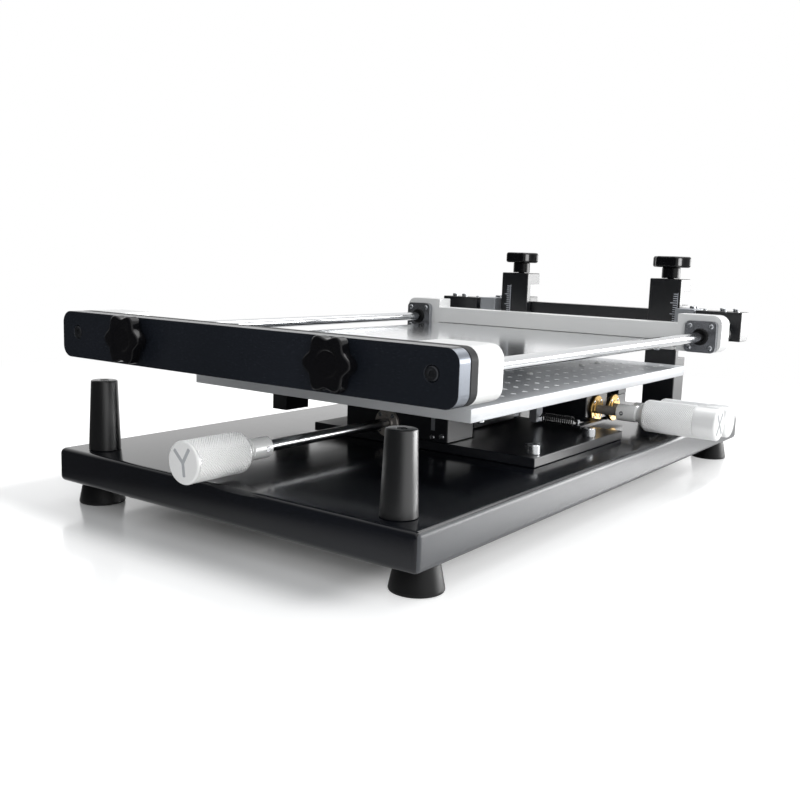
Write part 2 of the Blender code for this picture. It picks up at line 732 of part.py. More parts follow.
def build_stage_base():
    front, rear = stage_plate_front_y, stage_plate_front_y + stage_plate_depth
    plate = block("stage_plate", stage_plate_left_x, stage_plate_right_x, front, rear,
                  stage_plate_level, stage_plate_top, black_anodised, edge=plate_edge)
    shank = stage_plate_thickness / 2
    for end, y in (("front", plate_bolt_front_y), ("rear", plate_bolt_rear_y)):
        tool(plate, drill(plate_bolt_shank_radius + bore_gap, shank + bore_gap + overrun, "Z"),
             plate_bolt_x, y, stage_plate_top - shank - bore_gap)
        head = plate_bolt_head_height + seat_gap
        profile = [(0, -shank), (plate_bolt_shank_radius, -shank), (plate_bolt_shank_radius, seat_gap),
                   (plate_bolt_head_radius, seat_gap), (plate_bolt_head_radius, head - plate_edge),
                   (plate_bolt_head_radius - plate_edge, head), (plate_bolt_socket_radius, head),
                   (plate_bolt_socket_radius, head - plate_bolt_socket_depth),
                   (0, head - plate_bolt_socket_depth)]
        piece("plate_bolt_" + end, turning(profile, small_facets), plate_bolt_x, y, stage_plate_top, steel)
    rail_low = stage_plate_top + seat_gap
    for side, x in (("left", y_rail_left_x), ("right", y_rail_right_x)):
        block("y_rail_" + side, x - rail_width / 2, x + rail_width / 2, y_rail_front_y,
              y_rail_front_y + y_rail_length,
              rail_low, rail_low + rail_height, steel)
    nut_block = block("y_nut_block", y_block_left_x, y_block_left_x + y_block_width, y_block_front_y,
                      y_block_front_y + y_block_depth, rail_low, rail_low + y_block_height, black_anodised)
    tool(nut_block, drill(screw_shaft_radius + bore_gap, y_block_depth + 2 * overrun, "Y"),
         0, y_block_front_y - overrun, y_screw_level)
    ring = flange_ring(y_flange_radius)
    piece("y_nut_flange", turning(ring, round_facets, "Y"), 0,
          y_block_front_y - seat_gap - flange_thickness,
          y_screw_level, dark_steel)


def flange_ring(radius):
    """The profile of a flanged nut's disc with the screw's bore."""
    inner = screw_shaft_radius + bore_gap
    return [(inner, 0), (radius - block_edge, 0), (radius, block_edge), (radius, flange_thickness),
            (inner, flange_thickness)]


def build_y_slide():
    rear = y_slide_front_y + y_slide_depth
    notch_front = x_screw_y - x_lug_half_width - 2 * overrun
    notch_rear = x_screw_y + x_lug_half_width + 2 * overrun
    outline = [(y_slide_left_x, y_slide_front_y), (y_slide_step_x, y_slide_front_y),
               (y_slide_step_x, y_slide_step_y),
               (y_slide_side_x, y_slide_step_y), (y_slide_side_x, notch_front), (y_slide_notch_x,
                                                                                 notch_front),
               (y_slide_notch_x, notch_rear), (y_slide_side_x, notch_rear), (y_slide_side_x,
                                                                             y_slide_rear_step_y),
               (y_slide_rear_x, y_slide_rear_step_y), (y_slide_rear_x, rear), (y_slide_left_x, rear)]
    plate = piece("y_slide_plate", prism(outline, y_slide_thickness), 0, 0, y_slide_level, black_anodised,
                  "y_slide")
    join = slide_gap
    for x in (y_rail_left_x, y_rail_right_x):
        join_block(plate, x - carriage_width / 2, x + carriage_width / 2, carriage_front_y,
                   carriage_front_y + carriage_length,
                   y_slide_level - carriage_drop, y_slide_level + join)
    join_block(plate, -push_lug_half_width, push_lug_half_width, y_slide_front_y + join,
               y_slide_front_y + push_lug_length,
               y_slide_level - push_lug_drop, y_slide_level + join)
    rail_top = stage_plate_top + seat_gap + rail_height
    groove = slab(rail_width + 2 * slide_gap, carriage_length + 2 * overrun, carriage_drop)
    for x in (y_rail_left_x, y_rail_right_x):
        tool(plate, groove.copy(), x, carriage_front_y + carriage_length / 2,
             rail_top + slide_gap - carriage_drop)
    groove.free()
    for end, y in (("front", x_rail_front_y), ("rear", x_rail_rear_y)):
        block("x_rail_" + end, x_rail_left_x, x_rail_left_x + x_rail_length, y - x_rail_width / 2,
              y + x_rail_width / 2,
              y_slide_top + seat_gap, y_slide_top + seat_gap + x_rail_height, steel, "y_slide")
    nut_block = block("x_nut_block", x_block_left_x, x_block_right_x, x_block_front_y,
                      x_block_front_y + x_block_depth,
                      x_block_level, x_block_top_level, black_anodised, "y_slide")
    tool(nut_block, drill(screw_shaft_radius + bore_gap, x_block_right_x - x_block_left_x + 2 * overrun,
                          "X"),
         x_block_left_x - overrun, x_screw_y, x_screw_level)
    piece("x_nut_flange", turning([(r, flange_thickness - h) for r,
                                   h in reversed(flange_ring(flange_radius))], round_facets, "X"),
          x_block_right_x + seat_gap, x_screw_y, x_screw_level, brass, "y_slide")
    foot_front = x_block_front_y - anchor_foot_depth
    leg_left = spring_right_x() + seat_gap
    join_block(nut_block, anchor_inner_x, leg_left + anchor_leg_width, foot_front,
               x_block_front_y + slide_gap,
               anchor_level, anchor_level + anchor_height)
    join_block(nut_block, leg_left, leg_left + anchor_leg_width, x_block_front_y - anchor_leg_reach,
               foot_front + slide_gap,
               anchor_level, anchor_level + anchor_height)


def spring_left_x():
    """Where the spring meets the bracket's leg on the X slide."""
    return x_slide_right_x + bracket_left_gap + bracket_leg_length + 2 * seat_gap


def spring_right_x():
    return spring_left_x() + 2 * spring_lead + spring_curls * spring_pitch


def build_x_slide():
    outline = [(x_slide_left_x, x_slide_front_y), (x_slide_right_x, x_slide_front_y),
               (x_slide_right_x, x_slide_notch_front_y),
               (x_slide_notch_x, x_slide_notch_front_y), (x_slide_notch_x, x_slide_arm_front_y),
               (x_block_right_x, x_slide_arm_front_y), (x_block_right_x, x_slide_rear_y), (x_slide_left_x,
                                                                                           x_slide_rear_y)]
    plate = piece("x_slide_plate", prism(outline, x_slide_thickness), 0, 0, x_slide_level, black_anodised,
                  "x_slide")
    join = slide_gap
    join_block(plate, x_lug_left_x, x_lug_right_x, x_screw_y - x_lug_half_width,
               x_screw_y + x_lug_half_width,
               x_slide_level - x_lug_drop, x_slide_level + join)
    groove_top = y_slide_top + seat_gap + x_rail_height + slide_gap
    for y in (x_rail_front_y, x_rail_rear_y):
        groove = slab(x_slide_right_x - x_slide_left_x + 2 * overrun, x_rail_width + 2 * slide_gap,
                      groove_top - x_slide_level + overrun)
        tool(plate, groove, (x_slide_left_x + x_slide_right_x) / 2, y, x_slide_level - overrun)
    tool(plate, drill(pivot_pin_radius + bore_gap, pivot_pin_down + bore_gap + overrun, "Z"),
         0, pivot_y, x_slide_top - pivot_pin_down - bore_gap)
    pivot_profile = [(0, -pivot_pin_down), (pivot_pin_radius, -pivot_pin_down), (pivot_pin_radius, 0),
                     (pivot_flange_radius, 0), (pivot_flange_radius, pivot_flange_thickness),
                     (pivot_pin_radius, pivot_flange_thickness), (pivot_pin_radius,
                                                                  pivot_flange_thickness + pivot_pin_up),
                     (0, pivot_flange_thickness + pivot_pin_up)]
    piece("pivot_pin", turning(pivot_profile, round_facets), 0, pivot_y, pivot_level, steel, "x_slide")
    turn_block = block("turn_nut_block", turn_block_left_x, x_block_right_x, turn_block_front_y,
                       x_slide_rear_y,
                       turn_block_level, turn_block_top, black_anodised, "x_slide")
    tool(turn_block, drill(screw_shaft_radius + bore_gap, x_block_right_x - turn_block_left_x + 2 * overrun,
                           "X"),
         turn_block_left_x - overrun, turn_screw_y, turn_screw_level)
    ring = [(r, flange_thickness - h) for r, h in reversed(flange_ring(flange_radius))]
    piece("turn_nut_flange", turning(ring, round_facets, "X"), x_block_right_x + seat_gap, turn_screw_y,
          turn_screw_level,
          brass, "x_slide")
    arm_left = x_slide_right_x + seat_gap
    leg_left = x_slide_right_x + seat_gap + bracket_left_gap
    top = x_slide_level + bracket_thickness
    bracket = block("spring_bracket", arm_left, leg_left + bracket_leg_length, spring_y - bracket_width / 2,
                    spring_y + bracket_width / 2, x_slide_level, top, aluminium, "x_slide", 0.0)
    join_block(bracket, leg_left, leg_left + bracket_leg_length, spring_y - bracket_width / 2,
               spring_y + bracket_width / 2,
               x_slide_level - bracket_drop, x_slide_level + join)


def build_turning_plate():
    plate = block("turning_plate", turning_plate_left_x, turning_plate_right_x, turning_plate_front_y,
                  turning_plate_front_y + turning_plate_depth, turning_plate_level, turning_plate_top,
                  black_anodised, "turn", 0.0)
    join = slide_gap
    join_block(plate, turning_plate_left_x + join, turning_plate_left_x + corner_block_width,
               turning_plate_front_y + join, turning_plate_front_y + corner_block_depth,
               turning_plate_level - corner_block_drop, turning_plate_level + join)
    join_block(plate, turn_lug_left_x, turn_lug_left_x + turn_lug_width,
               turn_screw_y - turn_lug_half_length, turn_screw_y + turn_lug_half_length,
               turning_plate_level - turn_lug_drop, turning_plate_level + join)
    tool(plate, drill(pivot_pin_radius + bore_gap, turning_plate_thickness + 2 * overrun, "Z"),
         0, pivot_y, turning_plate_level - overrun)
    block("platform", -platform_half_width, platform_half_width, platform_front_y,
          platform_front_y + platform_depth,
          platform_level, platform_level + platform_thickness, aluminium, "turn", platform_edge)


def knob_profile(body_length):
    """A knurled knob's outline from its neck's mouth to its end face, with a socket for the shaft."""
    socket = screw_shaft_radius + bore_gap
    groove_end = knob_neck_length + knob_groove_length
    cone_end = knob_neck_length + knob_cone_length
    end = cone_end + body_length
    return [(0, knob_socket_depth), (socket, knob_socket_depth), (socket, 0),
            (knob_neck_radius - block_edge, 0),
            (knob_neck_radius, block_edge), (knob_neck_radius, knob_neck_length), (knob_groove_radius,
                                                                                   knob_neck_length),
            (knob_groove_radius, groove_end), (knob_neck_radius, groove_end), (knob_radius, cone_end),
            (knob_radius, end - knob_edge), (knob_radius - knob_edge, end), (0, end)]


def build_screws():
    y_neck_y = y_knob_front_y + y_knob_body_length + knob_cone_length + knob_neck_length
    y_knob = turning(knob_profile(y_knob_body_length), round_facets)
    y_knob.transform(Matrix.Rotation(math.radians(90), 4, "X"))
    piece("y_knob", y_knob, 0, y_neck_y, y_screw_level, aluminium, "y_screw")
    shaft_start = y_neck_y - knob_socket_depth + bore_gap
    shaft_end = y_slide_front_y - seat_gap
    piece("y_screw", rod(screw_shaft_radius, shaft_end - shaft_start, block_edge, "Y"), 0, shaft_start,
          y_screw_level,
          dark_steel, "y_screw")
    shaft_reach = x_knob_neck_x + knob_socket_depth - bore_gap
    pad_left = turn_lug_left_x + turn_lug_width + turn_pad_gap
    pad_right = pad_left + turn_pad_length
    for name, length, y, level, start in (
            ("x", x_knob_body_length, x_screw_y, x_screw_level, x_lug_right_x + seat_gap),
            ("turn", turn_knob_body_length, turn_screw_y, turn_screw_level, pad_right + seat_gap)):
        piece(name + "_knob", turning(knob_profile(length), round_facets, "X"), x_knob_neck_x, y, level,
              aluminium, name + "_screw")
        piece(name + "_screw", rod(screw_shaft_radius, shaft_reach - start, block_edge, "X"), start, y,
              level,
              dark_steel, name + "_screw")
    dome = turn_pad_radius / 2
    profile = [(0, 0), (turn_pad_radius - dome, 0), (turn_pad_radius, dome),
               (turn_pad_radius, turn_pad_length), (0, turn_pad_length)]
    piece("turn_push_pad", turning(profile, small_facets, "X"), pad_left, turn_screw_y, turn_screw_level,
          steel, "turn_pad")


def spring_path():
    """The spring's centre line: a straight lead, the curls round the axis and a straight lead."""
    count = spring_curls * spring_points_per_curl
    start, end = spring_left_x(), spring_right_x()
    first = start + spring_lead
    points = [(start, 0.0, 0.0), (start + 2 * spring_wire_radius, 0.0, 0.0)]
    for i in range(count + 1):
        angle = 2 * math.pi * i / spring_points_per_curl
        points.append((first + spring_pitch * i / spring_points_per_curl,
                       spring_radius * math.sin(angle), spring_radius * math.cos(angle)))
    points += [(end - 2 * spring_wire_radius, 0.0, 0.0), (end, 0.0, 0.0)]
    return points


def least_self_gap(points, skip):
    """The least clear distance between turns of the wire."""
    places = [Vector(p) for p in points]
    least = min((places[i] - places[k]).length for i in range(len(places))
                for k in range(i + skip, len(places)))
    return least - 2 * spring_wire_radius


def build_spring():
    points = spring_path()
    print("spring: least gap between its own turns %.2f mm"
          % (1000 * least_self_gap(points, spring_points_per_curl // 2 + 2)))
    curve = bpy.data.curves.new("return_spring", "CURVE")
    curve.dimensions = "3D"
    curve.bevel_depth = spring_wire_radius
    curve.bevel_resolution = 1
    curve.use_fill_caps = True
    line = curve.splines.new("POLY")
    line.points.add(len(points) - 1)
    middle = (spring_left_x() + spring_right_x()) / 2
    for point, (x, y, z) in zip(line.points, points):
        point.co = (x - middle, y, z, 1)
    spring = bpy.data.objects.new("return_spring", curve)
    bpy.context.collection.objects.link(spring)
    spring.parent = joints["x_slide"][0]
    spring.location = world(middle, spring_y, spring_level) - joints["x_slide"][1]
    curve.materials.append(material("return_spring_finish", *steel))


def build_joints():
    joint("y_slide", None, 0, y_slide_front_y, y_screw_level)
    joint("y_screw", "y_slide", 0, y_slide_front_y, y_screw_level)
    joint("x_slide", "y_slide", x_lug_right_x, x_screw_y, x_screw_level)
    joint("x_screw", "x_slide", x_lug_right_x, x_screw_y, x_screw_level)
    joint("turn_pad", "x_slide", turn_lug_left_x + turn_lug_width, turn_screw_y, turn_screw_level)
    joint("turn_screw", "turn_pad", turn_lug_left_x + turn_lug_width, turn_screw_y, turn_screw_level)
    joint("turn", "x_slide", 0, pivot_y, turning_plate_level)
    joint("lift", None, 0, lift_screw_y, carriage_level)
    joint("lift_screw_left", None, -tower_mid_x, lift_screw_y, tower_height)
    joint("lift_screw_right", None, tower_mid_x, lift_screw_y, tower_height)
    joint("frame", "lift", 0, hinge_axis_y, hinge_axis_level)
    joint("front_clamp", "frame", 0, front_clamp_y, rod_level)
    joint("tension_left", "frame", -tension_knob_x, front_plate_y, rod_level)
    joint("tension_right", "frame", tension_knob_x, front_plate_y, rod_level)
    joint("rear_clamp", "frame", 0, rear_bar_y, rod_level)


def main():
    for old in list(bpy.data.objects):
        bpy.data.objects.remove(old, do_unlink=True)
    build_joints()
    build_base()
    build_towers()
    build_lift()
    build_frame()
    build_front_clamp()
    build_rear_clamp()
    build_stage_base()
    build_y_slide()
    build_x_slide()
    build_turning_plate()
    build_screws()
    build_spring()


main()
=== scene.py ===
"""Dresses the solder paste stencil printer: finishes for every surface, softened edges, knurling,
the platform's holes, screws, springs and scale marks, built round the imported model.

The file is laid out as an add-on, with one operator for each group of pieces, and runs as a
script. Everything is in metres in the frame's coordinates: X to the right, Y to the back, Z up."""

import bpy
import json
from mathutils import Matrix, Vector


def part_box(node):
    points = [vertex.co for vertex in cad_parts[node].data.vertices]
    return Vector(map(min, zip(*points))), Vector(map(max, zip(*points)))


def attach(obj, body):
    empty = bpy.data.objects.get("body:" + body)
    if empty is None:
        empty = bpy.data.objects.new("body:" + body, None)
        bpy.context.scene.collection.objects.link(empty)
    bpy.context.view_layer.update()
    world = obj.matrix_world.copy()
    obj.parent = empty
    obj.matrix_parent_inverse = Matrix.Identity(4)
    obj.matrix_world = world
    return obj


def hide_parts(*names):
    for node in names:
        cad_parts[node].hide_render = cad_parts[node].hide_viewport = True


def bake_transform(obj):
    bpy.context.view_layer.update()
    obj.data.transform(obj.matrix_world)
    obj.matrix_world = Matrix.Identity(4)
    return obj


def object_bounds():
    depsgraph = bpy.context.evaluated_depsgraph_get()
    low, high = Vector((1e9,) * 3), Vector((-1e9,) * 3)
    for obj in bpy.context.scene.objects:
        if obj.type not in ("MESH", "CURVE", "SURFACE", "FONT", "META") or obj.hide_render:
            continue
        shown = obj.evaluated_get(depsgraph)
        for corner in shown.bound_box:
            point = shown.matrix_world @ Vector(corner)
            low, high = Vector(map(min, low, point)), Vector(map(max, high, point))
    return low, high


bl_info = {
    "name": "Stencil Printer Dressing",
    "version": (1, 0, 0),
    "blender": (4, 5, 0),
    "location": "3D View > Sidebar > Printer",
    "description": "Models the finished look of a solder paste stencil printer round its packed parts",
    "category": "Object",
}

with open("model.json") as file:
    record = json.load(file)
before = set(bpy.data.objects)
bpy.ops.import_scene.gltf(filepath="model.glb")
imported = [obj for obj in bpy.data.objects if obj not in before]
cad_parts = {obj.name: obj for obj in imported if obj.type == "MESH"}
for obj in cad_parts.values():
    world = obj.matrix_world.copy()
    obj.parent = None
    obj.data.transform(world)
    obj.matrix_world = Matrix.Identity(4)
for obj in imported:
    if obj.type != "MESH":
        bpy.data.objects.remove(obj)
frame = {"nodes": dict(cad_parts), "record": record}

import json
import math

import bmesh
import bpy
from bpy.props import FloatProperty, FloatVectorProperty, IntProperty, PointerProperty
from mathutils import Matrix, Vector

MM = 0.001
cad_box = [list(corner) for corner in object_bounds()]
bodies = frame["record"]["behaviour"]["bodies"]
body_of_node = {node: body for body, nodes in bodies.items() for node in nodes}

# The tray's deck is the level that heights are counted from, and its front left corner fixes x and y
tray_low, tray_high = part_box("base_tray")
deck = tray_high.z
middle_x = (tray_low.x + tray_high.x) / 2
front_y = tray_low.y

# Facets round large turned pieces, small ones, screws and threads
large_facets = 64
small_facets = 48
screw_facets = 32
thread_facets = 24

# Segments across the eased edges that show best
fine_segments = 3

# Points nearer than these are merged: in turned pieces, in CAD copies and in repeated cells
turned_merge = 0.001 * MM
cad_merge = 0.005 * MM
cell_merge = 0.01 * MM

# Edges sharper than this, in degrees, are eased and stay sharp in shading
sharp_angle = 32
flat_angle = 1.0

# Sizes that several groups share: the tension studs' place, the star knobs' segments and the threads' radius
stud_x = 102 * MM
stud_level = 94.2 * MM
star_segments = 5
star_smooth = 40
thread_radius = 3.95 * MM


def at(x, y, level):
    """A point from its place over the deck: x from the middle line, y from the tray's front edge."""
    return Vector((middle_x + x, front_y + y, deck + level))


def linear(hex_colour):
    """Linear colour with alpha of an sRGB hex value."""
    parts = [int(hex_colour[i:i + 2], 16) / 255 for i in (0, 2, 4)]
    return [p / 12.92 if p <= 0.04045 else ((p + 0.055) / 1.055) ** 2.4 for p in parts] + [1.0]


# Modelling helpers

def only(*pieces):
    """Selects just these pieces and makes the last one active."""
    bpy.ops.object.select_all(action="DESELECT")
    for piece in pieces:
        piece.select_set(True)
    bpy.context.view_layer.objects.active = pieces[-1]


def edit(piece, mode="FACE", chosen=None):
    """Enters edit mode with the elements that pass a test selected, or all of them."""
    only(piece)
    bpy.ops.object.mode_set(mode="EDIT")
    bpy.ops.mesh.select_mode(type=mode)
    bpy.ops.mesh.select_all(action="SELECT" if chosen is None else "DESELECT")
    if chosen is not None:
        bpy.ops.object.mode_set(mode="OBJECT")
        mesh = piece.data
        elements = {"VERT": mesh.vertices, "EDGE": mesh.edges, "FACE": mesh.polygons}[mode]
        for element in elements:
            element.select = chosen(element)
        bpy.ops.object.mode_set(mode="EDIT")


def end_edit(face_out=False):
    """Leaves edit mode, after turning all faces outwards if asked."""
    if face_out:
        bpy.ops.mesh.select_all(action="SELECT")
        bpy.ops.mesh.normals_make_consistent(inside=False)
    bpy.ops.object.mode_set(mode="OBJECT")


def new_piece(name, data):
    """An object in the scene that carries this mesh, curve, lamp or camera."""
    piece = bpy.data.objects.new(name, data)
    bpy.context.scene.collection.objects.link(piece)
    return piece


def settle(piece):
    """Moves a piece's place, turn and scale into its mesh."""
    only(piece)
    bpy.ops.object.transform_apply(location=True, rotation=True, scale=True)
    return piece


def apply(piece, kind, **settings):
    """Adds a modifier with its settings and applies it."""
    modifier = piece.modifiers.new(kind.title(), kind)
    for name, value in settings.items():
        setattr(modifier, name, value)
    only(piece)
    bpy.ops.object.modifier_apply(modifier=modifier.name)
    return piece


def smooth(piece, degrees=sharp_angle):
    """Shades a piece smooth except at its sharp edges."""
    only(piece)
    bpy.ops.object.shade_smooth_by_angle(angle=math.radians(degrees))
    return piece


def ease(piece, width, segments=2, degrees=sharp_angle):
    """Rounds a piece's sharp edges by a width."""
    apply(piece, "BEVEL", width=width, segments=segments, limit_method="ANGLE",
          angle_limit=math.radians(degrees), miter_outer="MITER_ARC")
    smooth(piece)
    return apply(piece, "WEIGHTED_NORMAL", keep_sharp=True)


def block(low, high, width=0.0):
    """A block between two corners, with its edges eased."""
    low, high = Vector(low), Vector(high)
    bpy.ops.object.select_all(action="DESELECT")
    bpy.ops.mesh.primitive_cube_add(size=1, location=(low + high) / 2, scale=high - low)
    piece = settle(bpy.context.object)
    return ease(piece, width) if width else piece


def turn_to(piece, axis, base):
    """Turns a piece made along +Z to an axis and moves it to its place."""
    quarter = math.pi / 2
    turns = {"X": (0, quarter, 0), "-X": (0, -quarter, 0), "Y": (-quarter, 0, 0), "-Y": (quarter, 0, 0),
             "-Z": (math.pi, 0, 0), "Z": (0, 0, 0)}
    piece.rotation_euler = turns[axis]
    piece.location = base
    return settle(piece)


def turned(profile, base, axis="Z", facets=large_facets):
    """A turned piece. Its profile runs from the axis or its bore, as (radius, height) points; a
    profile that doesn't touch the axis is closed into a ring."""
    mesh = bpy.data.meshes.new("turned")
    points = [(radius, 0, height) for radius, height in profile]
    links = [(i, i + 1) for i in range(len(points) - 1)]
    if profile[0][0] > 0:
        links.append((len(points) - 1, 0))
    mesh.from_pydata(points, links, [])
    piece = new_piece("turned", mesh)
    edit(piece, "VERT")
    bpy.ops.mesh.spin(steps=facets, angle=2 * math.pi, center=(0, 0, 0), axis=(0, 0, 1))
    bpy.ops.mesh.select_all(action="SELECT")
    bpy.ops.mesh.remove_doubles(threshold=turned_merge)
    end_edit(face_out=True)
    return smooth(turn_to(piece, axis, base))


def tube(bore, radius, length, base, axis="Z", facets=large_facets):
    """A turned ring, or a plain round bar where the bore is nothing."""
    return turned([(bore, 0), (radius, 0), (radius, length), (bore, length)], base, axis, facets)


def shaft(radius, length, edge, base, axis):
    """A round bar with chamfered ends."""
    return turned([(0, 0), (radius - edge, 0), (radius, edge), (radius, length - edge),
                   (radius - edge, length), (0, length)], base, axis)


def slab(outline, thickness, base, axis="Z", width=0.0, segments=2):
    """An outline pushed out along an axis, with its edges eased."""
    mesh = bpy.data.meshes.new("slab")
    mesh.from_pydata([(x, y, 0) for x, y in outline], [], [list(range(len(outline)))])
    piece = new_piece("slab", mesh)
    edit(piece)
    bpy.ops.mesh.extrude_region_move(TRANSFORM_OT_translate={"value": (0, 0, thickness)})
    end_edit(face_out=True)
    turn_to(piece, axis, base)
    return ease(piece, width, segments) if width else smooth(piece)


def carve(piece, *cutters, operation="DIFFERENCE"):
    """Cuts pieces away from a piece, or joins them to it, and removes them."""
    for cutter in cutters:
        apply(piece, "BOOLEAN", object=cutter, operation=operation, solver="EXACT")
        bpy.data.objects.remove(cutter, do_unlink=True)
    return piece


def joined(*pieces):
    """Several solids as one piece."""
    only(*reversed(pieces))
    bpy.ops.object.join()
    return pieces[0]


def from_cad(node, width=0.0, segments=2):
    """A copy of a CAD node's mesh with its flat faces made whole and its edges eased."""
    piece = new_piece(node, frame["nodes"][node].data.copy())
    edit(piece)
    bpy.ops.mesh.remove_doubles(threshold=cad_merge)
    bpy.ops.mesh.dissolve_limited(angle_limit=math.radians(flat_angle))
    end_edit()
    return ease(piece, width, segments) if width else smooth(piece)


def done(piece, name, body, finish, replaces=()):
    """Names a finished piece, gives it its finish and puts it on its body."""
    piece.name = name
    piece.data.name = name
    piece.data.materials.clear()
    piece.data.materials.append(finishes[finish])
    for polygon in piece.data.polygons:
        polygon.material_index = 0
    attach(piece, body)
    if replaces:
        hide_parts(*replaces)
    return piece


def steel(piece, name, body):
    """A finished small piece of zinc plated steel."""
    return done(piece, name, body, "zinc")


def stands_for(piece, node, finish):
    """Puts a finished piece in the place of a CAD node."""
    return done(piece, node + "_finished", body_of_node[node], finish, [node])


def dressed(node, finish, width, segments=2):
    """A CAD node's own shape with eased edges and its finish."""
    return stands_for(from_cad(node, width, segments), node, finish)


def measured(node):
    """A CAD node's low corner, its middle and its size."""
    low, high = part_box(node)
    return low, (low + high) / 2, high - low


# Materials

def add_node(tree, kind, settings=(), links=()):
    """Adds a shader node, sets its values by socket or property name, and links its inputs."""
    node = tree.nodes.new("ShaderNode" + kind)
    for name, value in dict(settings).items():
        if isinstance(name, int) or name in node.inputs:
            node.inputs[name].default_value = value
        else:
            setattr(node, name, value)
    for name, source in dict(links).items():
        tree.links.new(source, node.inputs[name])
    return node


# Clouds of slightly different colour lie on every surface, this many to the metre
clouds = 9.0
finishes = {}


def surface(name, light, dark, metallic, smoothest, roughest, grain, bump=0.0, stretch=(1, 1, 1), shader=()):
    """A finish whose colour, roughness and height vary with a grain of a real size in metres,
    drawn out along an axis where the surface was brushed or turned."""
    material = bpy.data.materials.new(name)
    material.use_nodes = True
    tree = material.node_tree
    principled = tree.nodes["Principled BSDF"]
    for socket, value in dict(shader, Metallic=metallic).items():
        principled.inputs[socket].default_value = value
    place = add_node(tree, "TexCoord")
    mapping = add_node(tree, "Mapping", {"Scale": stretch}, {"Vector": place.outputs["Object"]})
    fine = add_node(tree, "TexNoise", {"Scale": 1 / grain, "Detail": 3.0, "Roughness": 0.6},
                    {"Vector": mapping.outputs["Vector"]})
    broad = add_node(tree, "TexNoise", {"Scale": clouds, "Detail": 2.0}, {"Vector": place.outputs["Object"]})
    both = add_node(tree, "Math", {"operation": "MULTIPLY"},
                    {0: fine.outputs["Fac"], 1: broad.outputs["Fac"]})
    tint = add_node(tree, "MapRange", {"From Min": 0.12, "From Max": 0.38}, {"Value": both.outputs["Value"]})
    colour = add_node(tree, "Mix", {"data_type": "RGBA"}, {"Factor": tint.outputs["Result"]})
    colour.inputs[6].default_value = linear(dark)
    colour.inputs[7].default_value = linear(light)
    tree.links.new(colour.outputs[2], principled.inputs["Base Color"])
    rough = add_node(tree, "MapRange",
                     {"From Min": 0.3, "From Max": 0.7, "To Min": smoothest, "To Max": roughest},
                     {"Value": fine.outputs["Fac"]})
    tree.links.new(rough.outputs["Result"], principled.inputs["Roughness"])
    if bump:
        relief = add_node(tree, "Bump", {"Distance": bump, "Strength": 1.0}, {"Height": fine.outputs["Fac"]})
        tree.links.new(relief.outputs["Normal"], principled.inputs["Normal"])
    return material


def glossed(level, coat=0.0, coat_roughness=0.03):
    """Shader values of a black finish: how strongly it reflects, and its clear top layer."""
    return {"Specular IOR Level": level, "Coat Weight": coat, "Coat Roughness": coat_roughness}


